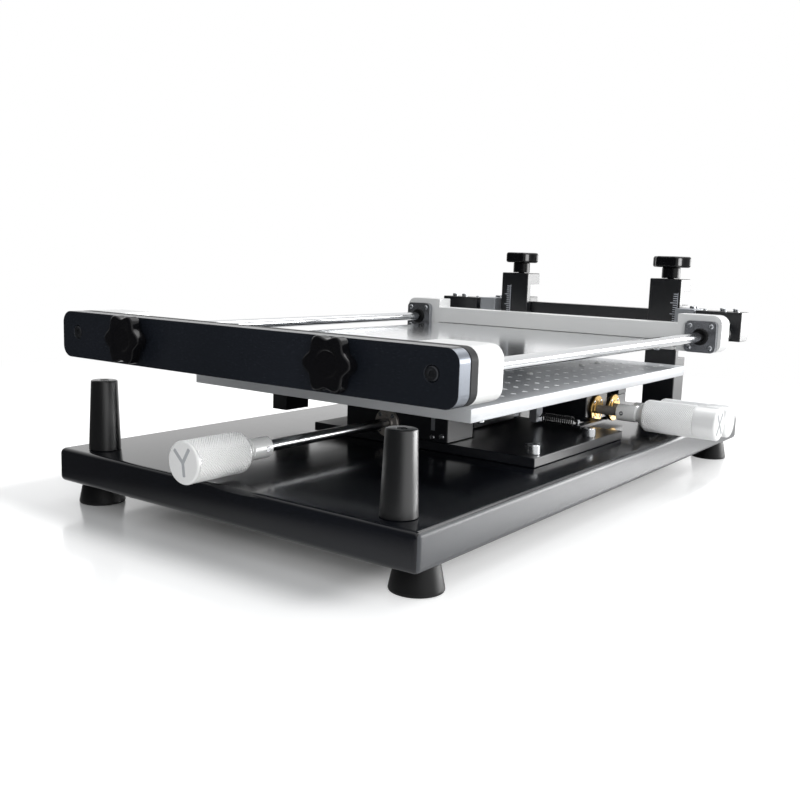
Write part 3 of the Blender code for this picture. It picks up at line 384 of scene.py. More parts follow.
def make_finishes():
    """Every finish of the printer, named for the real material and how it was made, and for the painted light
    where light is painted into a colour.
    """
    along_x, along_y = (0.05, 1, 1), (1, 0.1, 1)
    for key, name, light, dark, metallic, smoothest, roughest, grain, *more in (
        # Polyester powder coat on folded steel: deep gloss black with a fine orange peel
        ("powder_coat", "gloss_black_powder_coat", "0F1116", "090A0D", 0.0, 0.12, 0.19, 1.2, 0.004, None,
         glossed(0.6)),
        # On the tray's ends and sides the same black coat is painted lighter and glossier: painted light from
        # the lamp at the right
        ("powder_coat_painted_lit_side", "black_powder_coat_painted_lit", "2C2F34", "25282D", 0.0, 0.34, 0.42, 1.2, 0.006,
         None, glossed(0.7, 0.35, 0.4)),
        # Black anodised aluminium, milled and blasted: satin, with a cold sheen
        ("anodised", "black_anodised_aluminium", "0F1116", "090A0D", 0.0, 0.28, 0.38, 0.25, 0.004, None,
         glossed(0.6, 0.5, 0.3)),
        # The front plate is anodised over a finely brushed face; its colour is painted lighter and bluer than
        # the other blacks as a painted sheen
        ("anodised_face_painted_sheen", "brushed_black_anodised_painted_sheen", "191C22", "12151A", 0.0, 0.20, 0.28, 0.22,
         0.003, along_x, glossed(0.4)),
        # Hard black anodising on the plate behind it is duller
        ("anodised_dull", "hard_black_anodised_aluminium", "17181B", "0F1012", 0.0, 0.50, 0.62, 0.25, 0.006,
         None, glossed(0.3)),
        # Ends of the front plate, coloured as light grey metal: a painted highlight from the lamp at the
        # right
        ("painted_highlight_end", "painted_highlight_plate_end", "8D9198", "747981", 0.9, 0.26, 0.36, 0.3),
        # Clear anodised aluminium bar, blasted: near white satin
        ("aluminium", "satin_clear_anodised_aluminium", "E4E4E2", "D9DADA", 0.25, 0.32, 0.42, 0.2, 0.003),
        # Rolled aluminium plate of the platform: greyer, with the rolling direction along Y
        ("platform", "rolled_aluminium_plate", "CFD1D3", "C4C6C9", 0.25, 0.34, 0.42, 0.5, 0.002, along_y),
        # Countersinks and bores, coloured near white: painted glints of light round the holes
        ("painted_hole_glint", "aluminium_painted_hole_glints", "F6F7F7", "EDEEEF", 0.1, 0.40, 0.50, 0.5),
        # Milled aluminium blocks keep a greyer bead-blasted face
        ("grey_aluminium", "bead_blasted_aluminium", "BDC0C4", "A3A6AB", 0.8, 0.34, 0.46, 0.25, 0.006),
        # Bearing flanges are nickel plated steel
        ("nickel", "nickel_plated_steel", "B4B6BA", "9A9CA1", 0.95, 0.22, 0.32, 0.3),
        # Knurled aluminium knobs, clear anodised
        ("knob_aluminium", "turned_clear_anodised_aluminium", "ECECEA", "DFE0E1", 0.25, 0.26, 0.36, 0.25,
         0.003),
        # Hard chromed ground steel of the guide rods: almost a mirror
        ("chromed_rod", "hard_chromed_ground_steel", "DFE0E2", "D2D4D6", 1.0, 0.08, 0.15, 0.15, 0.0, along_y),
        # Shafts of the side screws: polished steel with a warm cast
        ("dark_shaft", "polished_dark_steel", "CCC6C0", "B5AFA9", 0.8, 0.26, 0.34, 0.2),
        # Shaft of the front screw: ground bright steel
        ("ground_shaft", "ground_steel_shaft", "DCDDDF", "CACCCE", 1.0, 0.20, 0.27, 0.2),
        # Zinc plated screws and small parts
        ("zinc", "bright_zinc_plated_steel", "D8DADC", "B8BBBF", 1.0, 0.16, 0.28, 0.3),
        # Black oxide on the slide rails and on the front plate's screws
        ("oxide", "black_oxide_steel", "5A5C60", "424448", 0.9, 0.24, 0.34, 0.3),
        # Blackened spring steel wire
        ("spring_wire", "oiled_spring_steel", "1A1B1D", "0F1011", 0.3, 0.35, 0.48, 0.3),
        # Turned brass flange nuts
        ("brass", "turned_brass", "E3BE78", "C8A058", 1.0, 0.16, 0.28, 0.2, 0.003),
        # Cold rolled stainless foil, almost a mirror, with faint rolling lines along Y
        ("foil", "rolled_stainless_foil", "EAECEE", "E2E4E7", 1.0, 0.10, 0.15, 0.4, 0.0, (1, 0.03, 1)),
        # Moulded rubber feet and bumpers: matt, slightly dusty
        ("rubber", "moulded_black_rubber", "0C0C0D", "060607", 0.0, 0.36, 0.50, 0.8, 0.01, None,
         glossed(0.35)),
        # Turned acetal rest posts: black with a soft shine
        ("acetal", "turned_black_acetal", "101113", "08090A", 0.0, 0.30, 0.38, 0.3, 0.004, None,
         glossed(0.8, 0.7, 0.3)),
        # Phenolic star knobs, polished
        ("phenolic", "polished_black_phenolic", "0C0C0E", "070709", 0.0, 0.12, 0.20, 1.0, 0.003, None,
         glossed(0.3)),
        # Nitrile seals in the bearings
        ("seal", "nitrile_seal", "0E0F10", "08090A", 0.0, 0.40, 0.55, 0.5, 0.01, None, glossed(0.3)),
        # Enamel paint of the scale marks, and of the letters
        ("white_paint", "white_enamel_marking", "C9CCD2", "B6BAC1", 0.0, 0.45, 0.55, 0.4),
        ("grey_paint", "grey_enamel_marking", "A0A2A5", "919396", 0.0, 0.45, 0.55, 0.4),
        # Heads of the white nylon board pins
        ("nylon", "white_nylon", "ECECEA", "E2E2E0", 0.0, 0.35, 0.45, 0.6),
    ):
        bump, stretch, shader = (more + [0.0, None, None][len(more):])
        finishes[key] = surface(name, light, dark, metallic, smoothest, roughest, grain * MM, bump * MM,
                                stretch or (1, 1, 1), shader or {})


# Shapes that several groups share

def round_outline(width, height, radius, steps=8):
    """The outline of a rectangle with round corners."""
    outline = []
    for corner, (x, y) in enumerate(((1, 1), (-1, 1), (-1, -1), (1, -1))):
        centre_x, centre_y = x * (width / 2 - radius), y * (height / 2 - radius)
        for i in range(steps + 1):
            angle = math.pi / 2 * (corner + i / steps)
            outline.append((centre_x + radius * math.cos(angle), centre_y + radius * math.sin(angle)))
    return outline


def star_outline(radius, lobes=6, share=0.10, points_per_lobe=20):
    """The lobed outline of a star knob."""
    count = lobes * points_per_lobe
    outline = []
    for i in range(count):
        angle = 2 * math.pi * i / count
        reach = radius * (1 - share * (1 - math.cos(lobes * angle)))
        outline.append((reach * math.cos(angle), reach * math.sin(angle)))
    return outline


def socket_screw(place, axis, head_radius, head_height, domed=False, sink=0.5 * MM):
    """The head of a socket screw on a face, its bottom sunk a little into the face."""
    socket_share = 0.52
    edge_share = 0.12
    near_share = 0.02
    inner = head_radius * socket_share
    edge = head_radius * edge_share
    top = head_height
    profile = [(0, -sink), (head_radius, -sink)]
    if domed:
        profile += [(head_radius, 0.25 * top), (0.86 * head_radius, 0.72 * top), (0.62 * head_radius, top),
                    (inner, top), (inner, 0.35 * top), (0, 0.35 * top)]
    else:
        profile += [(head_radius, top - edge), (head_radius - edge, top), (inner + edge / 2, top),
                    (inner, top - edge / 2), (inner, 0.4 * top), (0, 0.4 * top)]
    screw = turned(profile, (0, 0, 0), facets=screw_facets)
    # The hexagon of the socket: six flats inside the round mouth
    for vertex in screw.data.vertices:
        reach = math.hypot(vertex.co.x, vertex.co.y)
        if abs(reach - inner) < near_share * inner:
            angle = math.atan2(vertex.co.y, vertex.co.x) % (math.pi / 3) - math.pi / 6
            factor = math.cos(math.pi / 6) / math.cos(angle)
            vertex.co.x *= factor
            vertex.co.y *= factor
    return turn_to(screw, axis, place)


def screw_on(name, body, place, axis, head_radius, head_height, domed=False):
    """A zinc plated socket screw's head on a face."""
    steel(socket_screw(place, axis, head_radius, head_height, domed), name, body)


def threaded(radius, length, pitch, base, axis):
    """A screw thread drawn as fine ridges along a shaft."""
    depth_share = 0.3
    root = radius - depth_share * pitch
    turns = int(length / pitch)
    profile = [(0, 0)]
    for i in range(turns):
        low = i * length / turns
        profile += [(root, low), (radius, low + 0.5 * length / turns)]
    profile += [(root, length), (0, length)]
    return turned(profile, base, axis, thread_facets)


def strip_screws(body, node):
    """Clamping screws along the underside of a clamp strip."""
    count = 7
    head_radius, head_height = 3.4 * MM, 2.4 * MM
    low, middle, size = measured(node)
    for i in range(count):
        place = (low.x + (i + 0.5) * size.x / count, middle.y, low.z)
        screw_on(f"{body}_screw_{i}", body, place, "-Z", head_radius, head_height, domed=True)


def nut_flange(node, axis, finish):
    """A flanged nut's disc with a chamfered rim, a raised collar round the bore and four screws."""
    bore = 4.85 * MM
    rim = 0.5 * MM
    head_radius = 1.9 * MM
    face_share = 0.8
    screw_circle_share = 0.77
    screw_height_share = 0.18
    middle, size = measured(node)[1:]
    outward = -1 if axis == "Y" else 1
    facing = axis if outward > 0 else "-" + axis
    along = Vector((1, 0, 0)) if axis == "X" else Vector((0, 1, 0))
    across = Vector((0, 1, 0)) if axis == "X" else Vector((1, 0, 0))
    radius = size.z / 2
    thickness = size.x if axis == "X" else size.y
    face = face_share * thickness
    profile = [(bore, 0), (radius, 0), (radius, 0.62 * thickness), (radius - rim, face),
               (0.56 * radius, face), (0.52 * radius, thickness), (bore, thickness)]
    back = middle - outward * along * thickness / 2
    stands_for(turned(profile, back, facing), node, finish)
    reach = screw_circle_share * radius
    for number in range(4):
        angle = math.pi / 4 + number * math.pi / 2
        side = across * math.cos(angle) + Vector((0, 0, math.sin(angle)))
        place = back + outward * along * face + reach * side
        screw_on(f"{node}_screw_{number}", body_of_node[node], place, facing, head_radius,
                 screw_height_share * thickness, domed=True)


# The groups of pieces

def length_value(name, description, default, least, most):
    """A length that a user may change, given in millimetres."""
    return FloatProperty(name=name, description=description, default=default * MM, min=least * MM,
                         max=most * MM, subtype="DISTANCE", unit="LENGTH")


class PrinterLooks(bpy.types.PropertyGroup):
    """Sizes and colours that a user would change."""
    edge: length_value("Eased edge", "Radius of the broken edges of milled parts", 0.5, 0.1, 2)
    hole_columns: IntProperty(name="Hole columns", description="Columns of holes in the platform",
                              default=14, min=2, max=28)
    hole_rows: IntProperty(name="Hole rows", description="Rows of holes in the platform",
                           default=22, min=2, max=44)
    hole_pitch: length_value("Hole pitch", "Distance between the platform's holes", 19.1, 5, 30)
    hole_radius: length_value("Hole radius", "Radius of the platform's holes", 1.5, 0.5, 4)
    knurl_pitch: length_value("Knurl pitch", "Distance between the knurl's diamonds", 2.2, 0.8, 4)
    knurl_depth: length_value("Knurl depth", "Height of the knurl's diamonds", 0.65, 0.0, 1)
    floor_colour: FloatVectorProperty(name="Floor", description="Colour of the floor", subtype="COLOR",
                                      size=3, default=linear("F7F7F6")[:3], min=0.0, max=1.0)
    lamp_power: FloatProperty(name="Lamp power", description="Strength of the soft lamps", default=1.0,
                              min=0.0, max=5.0)


def looks():
    """The sizes and colours of this scene."""
    return bpy.context.scene.printer_looks


class PRINTER_OT_finishes(bpy.types.Operator):
    """Makes every finish"""
    bl_idname = "printer.finishes"
    bl_label = "Finishes"

    def execute(self, context):
        make_finishes()
        return {"FINISHED"}


class PRINTER_OT_base(bpy.types.Operator):
    """Builds the folded tray, its feet and the rest posts"""
    bl_idname = "printer.base"
    bl_label = "Base"

    wall = 2.5 * MM
    lip = 36 * MM
    fold_radius = 4.6 * MM
    fold_segments = 6
    inner_fold_segments = 3
    tray_smooth = 30
    lit_side_facing = 0.7
    foot_top_share = 0.81
    foot_edge = 1.2 * MM
    foot_swell = 0.3 * MM
    foot_recess = 3 * MM
    foot_recess_radius = 6.5 * MM
    foot_head_radius = 5 * MM
    foot_head_height = 2.2 * MM
    post_top_share = 0.827
    post_edge = 1.1 * MM
    post_foot_edge = 0.4 * MM
    post_hole = 1.6 * MM
    post_hole_depth = 4 * MM
    post_ring = 1.9 * MM
    post_ring_depth = 0.6 * MM

    def execute(self, context):
        self.tray()
        for node in ("foot_front_left", "foot_front_right", "foot_rear_left", "foot_rear_right"):
            self.foot(node)
        for node in ("rest_post_left", "rest_post_right"):
            self.post(node)
        return {"FINISHED"}

    def tray(self):
        """A folded box with rounded folds, hollow below, with a return lip."""
        tray = block(tray_low, tray_high)
        apply(tray, "BEVEL", width=self.fold_radius, segments=self.fold_segments, limit_method="NONE")
        inner = Vector((self.wall, self.wall, self.wall))
        cavity = block(tray_low + inner, tray_high - inner)
        apply(cavity, "BEVEL", width=self.fold_radius - self.wall, segments=self.inner_fold_segments,
              limit_method="NONE")
        mouth = block(tray_low + Vector((self.lip, self.lip, -self.wall)),
                      (tray_high.x - self.lip, tray_high.y - self.lip, tray_low.z + 2 * self.wall))
        carve(tray, cavity, mouth)
        stands_for(smooth(tray, self.tray_smooth), "base_tray", "powder_coat")
        # The faces that look left or right take the lighter, glossier coat: painted light from the lamp at
        # the right
        tray.data.materials.append(finishes["powder_coat_painted_lit_side"])
        for polygon in tray.data.polygons:
            if abs(polygon.normal.x) > self.lit_side_facing:
                polygon.material_index = 1

    def foot(self, node):
        """A rubber cone with a screw in a recess below."""
        low, middle, size = measured(node)
        base = Vector((middle.x, middle.y, low.z))
        bottom = size.x / 2
        top = bottom * self.foot_top_share
        height, edge, swell = size.z, self.foot_edge, self.foot_swell
        profile = [(0, self.foot_recess), (self.foot_recess_radius, self.foot_recess),
                   (self.foot_recess_radius, 0),
                   (bottom - edge, 0), (bottom - 0.3 * edge, 0.3 * edge), (bottom, edge),
                   (bottom - 2 / 3 * swell, 2.2 * edge), (top + swell, height - edge),
                   (top - swell / 3, height - 0.35 * edge), (top - edge, height), (0, height)]
        stands_for(turned(profile, base), node, "rubber")
        seat = base + Vector((0, 0, self.foot_recess))
        screw_on(node + "_screw", "base", seat, "-Z", self.foot_head_radius, self.foot_head_height,
                 domed=True)

    def post(self, node):
        """A turned post with a flat ring and a small hole on top."""
        low, middle, size = measured(node)
        bottom = size.x / 2
        top = bottom * self.post_top_share
        height, edge, hole = size.z, self.post_edge, self.post_hole
        ring, ring_level = hole + self.post_ring, height - self.post_ring_depth
        hole_level = height - self.post_hole_depth
        profile = [(0, 0), (bottom - self.post_foot_edge, 0), (bottom, self.post_foot_edge),
                   (top, height - edge), (top - 0.3 * edge, height - 0.3 * edge), (top - edge, height),
                   (ring + self.post_ring_depth / 2, height), (ring, ring_level), (hole, ring_level),
                   (hole, hole_level), (0, hole_level)]
        stands_for(turned(profile, (middle.x, middle.y, low.z)), node, "acetal")


class PRINTER_OT_towers(bpy.types.Operator):
    """Builds the towers, their scales and the lead screws with star knobs"""
    bl_idname = "printer.towers"
    bl_label = "Towers"

    # The scale: where its line stands, how many marks it has, and how long and wide they are
    right_inset = 2.2 * MM
    left_inset = 13.5 * MM
    marks = 15
    marks_per_long = 5
    long_mark = 8.5 * MM
    short_mark = 5.5 * MM
    mark_pitch = 2.5 * MM
    mark_width = 0.7 * MM
    paint_proud = 0.05 * MM
    paint_depth = 0.2 * MM
    first_level = 98 * MM
    line_levels = (96 * MM, 135 * MM)

    # The star knob, its cap and the hub below it
    star_thickness = 12.5 * MM
    star_edge = 2.6 * MM
    cap_radius = 8.6 * MM
    cap_height = 1.2 * MM
    cap_side = 0.9 * MM
    cap_chamfer = 0.6 * MM
    hub_level = 150.8 * MM
    hub_radius = 10.4 * MM
    hub_height = 13 * MM
    hub_foot_edge = 0.5 * MM
    hub_top_edge = 1.2 * MM
    hub_side = 11.4 * MM
    pitch = 1.5 * MM

    def execute(self, context):
        for side in ("left", "right"):
            dressed("tower_" + side, "anodised", looks().edge)
            self.scale("tower_" + side, side)
            self.lead_screw("lift_knob_" + side)
        return {"FINISHED"}

    def scale(self, node, side):
        """White engraved marks near the outer edge of the front face."""
        low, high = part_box(node)
        line_x = high.x - self.right_inset if side == "right" else low.x + self.left_inset
        front = low.y - self.paint_proud
        back = front + self.paint_depth
        marks = []
        for i in range(self.marks):
            length = self.short_mark if i % self.marks_per_long else self.long_mark
            level = deck + self.first_level + i * self.mark_pitch
            marks.append(block((line_x - length, front, level), (line_x, back, level + self.mark_width)))
        bottom, top = self.line_levels
        marks.append(block((line_x - self.mark_width, front, deck + bottom), (line_x, back, deck + top)))
        done(joined(*marks), node + "_scale", "base", "white_paint")

    def lead_screw(self, node):
        """A star knob with a round hub on a threaded screw."""
        low, middle, size = measured(node)
        x, y, top = middle.x, middle.y, low.z + size.z
        star = slab(star_outline(size.x / 2), self.star_thickness, (x, y, top - self.star_thickness),
                    width=self.star_edge, segments=star_segments)
        cap = turned([(0, 0), (self.cap_radius, 0), (self.cap_radius, self.cap_side),
                      (self.cap_radius - self.cap_chamfer, self.cap_height), (0, self.cap_height)],
                     (x, y, top - self.cap_height), facets=small_facets)
        hub, foot_edge, top_edge = self.hub_radius, self.hub_foot_edge, self.hub_top_edge
        stem = turned([(0, 0), (hub - foot_edge, 0), (hub, foot_edge), (hub, self.hub_side),
                       (hub - top_edge, self.hub_height), (0, self.hub_height)],
                      (x, y, deck + self.hub_level), facets=small_facets)
        stands_for(joined(smooth(star, star_smooth), stem), node, "phenolic")
        done(cap, node + "_cap", body_of_node[node], "phenolic")
        screw = threaded(thread_radius, deck + self.hub_level - low.z, self.pitch, (x, y, low.z), "Z")
        steel(screw, node + "_screw", body_of_node[node])


class PRINTER_OT_lift(bpy.types.Operator):
    """Builds the carriages, the cross bar and the hinge blocks"""
    bl_idname = "printer.lift"
    bl_label = "Lift"

    hinge_edge = 0.3 * MM
    screw_inset = 11 * MM
    screw_shares = (0.62, 0.85)
    head_radius = 3.2 * MM
    head_height = 2.6 * MM

    def execute(self, context):
        for side, sign in (("left", -1), ("right", 1)):
            dressed("lift_carriage_" + side, "anodised", looks().edge)
            dressed("hinge_block_" + side, "grey_aluminium", self.hinge_edge)
            low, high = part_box("hinge_block_" + side)
            x = low.x + self.screw_inset if sign > 0 else high.x - self.screw_inset
            for share in self.screw_shares:
                place = (x, low.y + share * (high.y - low.y), high.z)
                screw_on(f"hinge_screw_{side}_{round(100 * share)}", "lift", place, "Z", self.head_radius,
                         self.head_height)
        dressed("cross_bar", "anodised", looks().edge)
        return {"FINISHED"}


class PRINTER_OT_frame(bpy.types.Operator):
    """Builds the arms, the guide rods, the bumpers and the front plates"""
    bl_idname = "printer.swing_frame"
    bl_label = "Swinging frame"

    # Arm blocks: two clamping screws and a pin on top, and a washer on the hinge pin
    screw_insets = (10 * MM, 24 * MM)
    head_radius = 3.6 * MM
    head_height = 3.4 * MM
    pin_inset = 44 * MM
    pin_radius = 2.2 * MM
    pin_height = 1.6 * MM
    hinge_y = 593 * MM
    hinge_level = 109 * MM
    washer_bore = 4.6 * MM
    washer_radius = 8 * MM
    washer_thickness = 0.8 * MM
    washer_gap = 0.1 * MM

    # Guide rods, and the bumpers on them: a rubber ring and a steel collar
    rod_edge = 0.6 * MM
    bumper_bore = 5.3 * MM
    rubber_share = 0.55
    rubber_edge = 1.6 * MM
    rubber_round = 0.5 * MM
    rubber_back_edge = 0.8 * MM
    collar_share = 0.85
    collar_end_share = 0.82
    collar_edge = 0.4 * MM
    set_screw_radius = 1.5 * MM
    set_screw_height = 0.5 * MM

    # Front plates, with the holes of the tension studs and the recesses of the rod screws
    plate_corner = 9.5 * MM
    corner_steps = 12
    plate_edge = 0.6 * MM
    overrun = 2 * MM
    stud_hole = 4.3 * MM
    recess_radius = 5.4 * MM
    recess_depth = 2.8 * MM
    rod_screw_radius = 4.7 * MM
    rod_screw_height = 1.9 * MM
    rod_screw_depth = 1.75 * MM
    end_facing = 0.35
    end_x = 150 * MM

    def execute(self, context):
        for side, sign in (("left", -1), ("right", 1)):
            self.arm(side, sign)
            self.rod("guide_rod_" + side)
            self.bumper("rod_bumper_" + side)
        self.plates()
        return {"FINISHED"}

    def arm(self, side, sign):
        """A milled block with two clamping screws and one small pin on top."""
        node = "arm_block_" + side
        dressed(node, "anodised", looks().edge)
        low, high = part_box(node)
        outer = high.x if sign > 0 else low.x
        middle_y = (low.y + high.y) / 2
        for number, inset in enumerate(self.screw_insets):
            screw_on(f"arm_screw_{side}_{number}", "frame", (outer - sign * inset, middle_y, high.z), "Z",
                     self.head_radius, self.head_height)
        screw_on(f"arm_pin_{side}", "frame", (outer - sign * self.pin_inset, middle_y, high.z), "Z",
                 self.pin_radius, self.pin_height, domed=True)
        hinge = at(0, self.hinge_y, self.hinge_level)
        hinge.x = outer - self.washer_thickness - self.washer_gap if sign > 0 else outer + self.washer_gap
        washer = tube(self.washer_bore, self.washer_radius, self.washer_thickness, hinge, "X", small_facets)
        steel(washer, f"hinge_washer_{side}", "frame")

    def rod(self, node):
        """A ground rod with chamfered ends."""
        low, middle, size = measured(node)
        place = (middle.x, low.y, middle.z)
        stands_for(shaft(size.x / 2, size.y, self.rod_edge, place, "Y"), node, "chromed_rod")

    def bumper(self, node):
        """A rubber ring against a steel collar with a set screw."""
        low, middle, size = measured(node)
        place = Vector((middle.x, low.y, middle.z))
        bore, outer, length = self.bumper_bore, size.x / 2, size.y
        split = self.rubber_share * length
        soft = [(bore, 0), (outer - self.rubber_edge, 0), (outer - self.rubber_round, self.rubber_round),
                (outer, self.rubber_edge), (outer, split - self.rubber_back_edge),
                (outer - self.rubber_back_edge, split), (bore, split)]
        stands_for(turned(soft, place, "Y"), node, "rubber")
        collar = self.collar_share * outer
        hard = [(bore, split), (collar, split), (collar, length - self.collar_edge),
                (self.collar_end_share * outer, length), (bore, length)]
        steel(turned(hard, place, "Y"), node + "_collar", "frame")
        screw_on(node + "_set_screw", "frame", place + Vector((0, (split + length) / 2, collar)), "Z",
                 self.set_screw_radius, self.set_screw_height)

    def rod_axis(self, side, y):
        """A point on a guide rod's axis."""
        middle = measured("guide_rod_" + side)[1]
        return Vector((middle.x, y, middle.z))

    def plates(self):
        """Two stacked plates with round ends, and the rod screws in the front one."""
        # The front plate's finish has a painted sheen: its black is lighter and bluer
        for node, finish in (("front_plate", "anodised_face_painted_sheen"), ("inner_plate", "anodised_dull")):
            low, middle, size = measured(node)
            outline = round_outline(size.x, size.z, self.plate_corner, self.corner_steps)
            plate = slab(outline, size.y, (middle.x, low.y, middle.z), "Y")
            cutters = []
            for side, sign in (("left", -1), ("right", 1)):
                hole = (middle_x + sign * stud_x, low.y - self.overrun, deck + stud_level)
                cutters.append(tube(0, self.stud_hole, size.y + 2 * self.overrun, hole, "Y", small_facets))
                if node == "front_plate":
                    recess = self.rod_axis(side, low.y - self.overrun / 2)
                    cutters.append(tube(0, self.recess_radius, self.recess_depth, recess, "Y", small_facets))
            carve(plate, *cutters)
            stands_for(ease(plate, self.plate_edge, fine_segments), node, finish)
            if node == "front_plate":
                self.paint_highlight_ends(plate)
        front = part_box("front_plate")[0].y
        for side in ("left", "right"):
            place = self.rod_axis(side, front + self.rod_screw_depth)
            head = socket_screw(place, "-Y", self.rod_screw_radius, self.rod_screw_height)
            done(head, f"rod_screw_{side}", "frame", "oxide")

    def paint_highlight_ends(self, plate):
        """Gives the faces round the plate's ends a light grey metal finish: a painted highlight."""
        plate.data.materials.append(finishes["painted_highlight_end"])
        for polygon in plate.data.polygons:
            if abs(polygon.normal.x) > self.end_facing and abs(polygon.normal.y) < self.end_facing:
                if abs(polygon.center.x - middle_x) > self.end_x:
                    polygon.material_index = 1


# Eased edges of the clamp bars and their strips
bar_edge = 0.9 * MM
strip_edge = 0.3 * MM


class PRINTER_OT_front_clamp(bpy.types.Operator):
    """Builds the front clamp bar, its strip, the foil and the star knobs that tension it"""
    bl_idname = "printer.front_clamp"
    bl_label = "Front clamp"

    foil_edge = 0.1 * MM
    star_thickness = 10 * MM
    star_edge = 2.2 * MM
    dish_radius = 10.5 * MM
    dish_floor_radius = 8.5 * MM
    dish_depth = 1.3 * MM
    dish_overrun = 0.01 * MM
    hub_radius = 8.8 * MM
    hub_length = 4.6 * MM
    hub_sink = 1 * MM
    stud_gap = 3.5 * MM
    pitch = 1.25 * MM

    def execute(self, context):
        dressed("front_clamp_bar", "aluminium", bar_edge, fine_segments)
        dressed("front_clamp_strip", "aluminium", strip_edge)
        stands_for(block(*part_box("stencil_foil"), self.foil_edge), "stencil_foil", "foil")
        strip_screws("front_clamp", "front_clamp_strip")
        for side in ("left", "right"):
            self.star("tension_knob_" + side)
        return {"FINISHED"}

    def star(self, node):
        """A star knob with a dished face, seen from the front, on its stud."""
        low, middle, size = measured(node)
        x, y, z = middle.x, low.y, deck + stud_level
        star = slab(star_outline(size.x / 2), self.star_thickness, (x, y, z), "Y", self.star_edge,
                    star_segments)
        dish = turned([(0, 0), (self.dish_radius, 0), (self.dish_floor_radius, self.dish_depth),
                       (0, self.dish_depth)], (x, y - self.dish_overrun, z), "Y")
        carve(star, dish)
        back = y + self.star_thickness
        hub = tube(0, self.hub_radius, self.hub_length, (x, back - self.hub_sink, z), "Y", small_facets)
        stands_for(joined(smooth(star, star_smooth), hub), node, "phenolic")
        start = back + self.stud_gap
        stud = threaded(thread_radius, y + size.y - start, self.pitch, (x, start, z), "Y")
        steel(stud, node + "_stud", body_of_node[node])


class PRINTER_OT_rear_clamp(bpy.types.Operator):
    """Builds the sliding rear clamp bar and its flanged linear bearings"""
    bl_idname = "printer.rear_clamp"
    bl_label = "Rear clamp"

    corner = 5 * MM
    thickness = 6 * MM
    edge = 0.5 * MM
    edge_angle = 40
    bore = 5.45 * MM
    bore_length = 60 * MM
    bore_overrun = 5 * MM
    recess_radius = 8.6 * MM
    recess_length = 1.6 * MM
    recess_overrun = 0.4 * MM
    sleeve_radius = 9.45 * MM
    sleeve_start = 3 * MM
    seal_bore = 5.4 * MM
    seal_radius = 8.5 * MM
    seal_nose = 7.6 * MM
    seal_slope = 1 * MM
    seal_length = 3.2 * MM
    seal_proud = 2 * MM
    screw_inset = 5.2 * MM
    head_radius = 2.7 * MM
    head_height = 1.5 * MM

    def execute(self, context):
        dressed("rear_clamp_bar", "aluminium", bar_edge, fine_segments)
        dressed("rear_clamp_strip", "aluminium", strip_edge)
        strip_screws("rear_clamp", "rear_clamp_strip")
        for side in ("left", "right"):
            self.bearing("linear_bearing_" + side)
        return {"FINISHED"}

    def bearing(self, node):
        """A square flange with four screws, a sleeve through the bar and a black seal."""
        low, middle, size = measured(node)
        x, y, z = middle.x, low.y, middle.z
        flange = slab(round_outline(size.x, size.x, self.corner), self.thickness, (x, y, z), "Y")
        bore = tube(0, self.bore, self.bore_length, (x, y - self.bore_overrun, z), "Y")
        recess = tube(0, self.recess_radius, self.recess_length, (x, y - self.recess_overrun, z), "Y")
        sleeve = tube(0, self.sleeve_radius, size.y - self.sleeve_start, (x, y + self.sleeve_start, z), "Y")
        carve(flange, sleeve, operation="UNION")
        carve(flange, bore, recess)
        stands_for(ease(flange, self.edge, fine_segments, self.edge_angle), node, "nickel")
        ring = turned([(self.seal_bore, 0), (self.seal_nose, 0), (self.seal_radius, self.seal_slope),
                       (self.seal_radius, self.seal_length), (self.seal_bore, self.seal_length)],
                      (x, y - self.seal_proud, z), "Y")
        done(ring, node + "_seal", "rear_clamp", "seal")
        reach = size.x / 2 - self.screw_inset
        for number, (dx, dz) in enumerate(((1, 1), (-1, 1), (-1, -1), (1, -1))):
            screw_on(f"{node}_screw_{number}", "rear_clamp", (x + dx * reach, y, z + dz * reach), "-Y",
                     self.head_radius, self.head_height, domed=True)


# Eased edges of the small slide parts
rail_edge = 0.25 * MM


class PRINTER_OT_stage_base(bpy.types.Operator):
    """Builds the fixed plate of the stage, its rails and the Y nut block"""
    bl_idname = "printer.stage_base"
    bl_label = "Stage base"

    bolt_gap = 0.3 * MM
    # Screws in the nut block's front face, as x and level, and a bare strip beside them
    block_screws = ((47.4 * MM, 12 * MM), (57 * MM, 13.5 * MM))
    head_radius = 2.6 * MM
    head_height = 1.2 * MM
    strip_x = (46 * MM, 50 * MM)
    strip_levels = (18 * MM, 33 * MM)
    strip_proud = 0.25 * MM
    strip_sunk = 0.2 * MM
    strip_edge = 0.1 * MM

    def execute(self, context):
        dressed("stage_plate", "anodised", looks().edge)
        for node in ("y_rail_left", "y_rail_right"):
            dressed(node, "oxide", rail_edge)
        dressed("y_nut_block", "anodised", looks().edge)
        for node in ("plate_bolt_front", "plate_bolt_rear"):
            low, middle, size = measured(node)
            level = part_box("stage_plate")[1].z + self.bolt_gap
            height = low.z + size.z - level
            bolt = socket_screw((middle.x, middle.y, level), "Z", size.x / 2, height, sink=0.0)
            stands_for(bolt, node, "zinc")
        nut_flange("y_nut_flange", "Y", "dark_shaft")
        face_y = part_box("y_nut_block")[0].y - front_y
        for number, (x, level) in enumerate(self.block_screws):
            screw_on(f"nut_block_screw_{number}", "base", at(x, face_y, level), "-Y", self.head_radius,
                     self.head_height, domed=True)
        strip = block(at(self.strip_x[0], face_y - self.strip_proud, self.strip_levels[0]),
                      at(self.strip_x[1], face_y + self.strip_sunk, self.strip_levels[1]), self.strip_edge)
        done(strip, "index_strip", "base", "grey_aluminium")
        return {"FINISHED"}


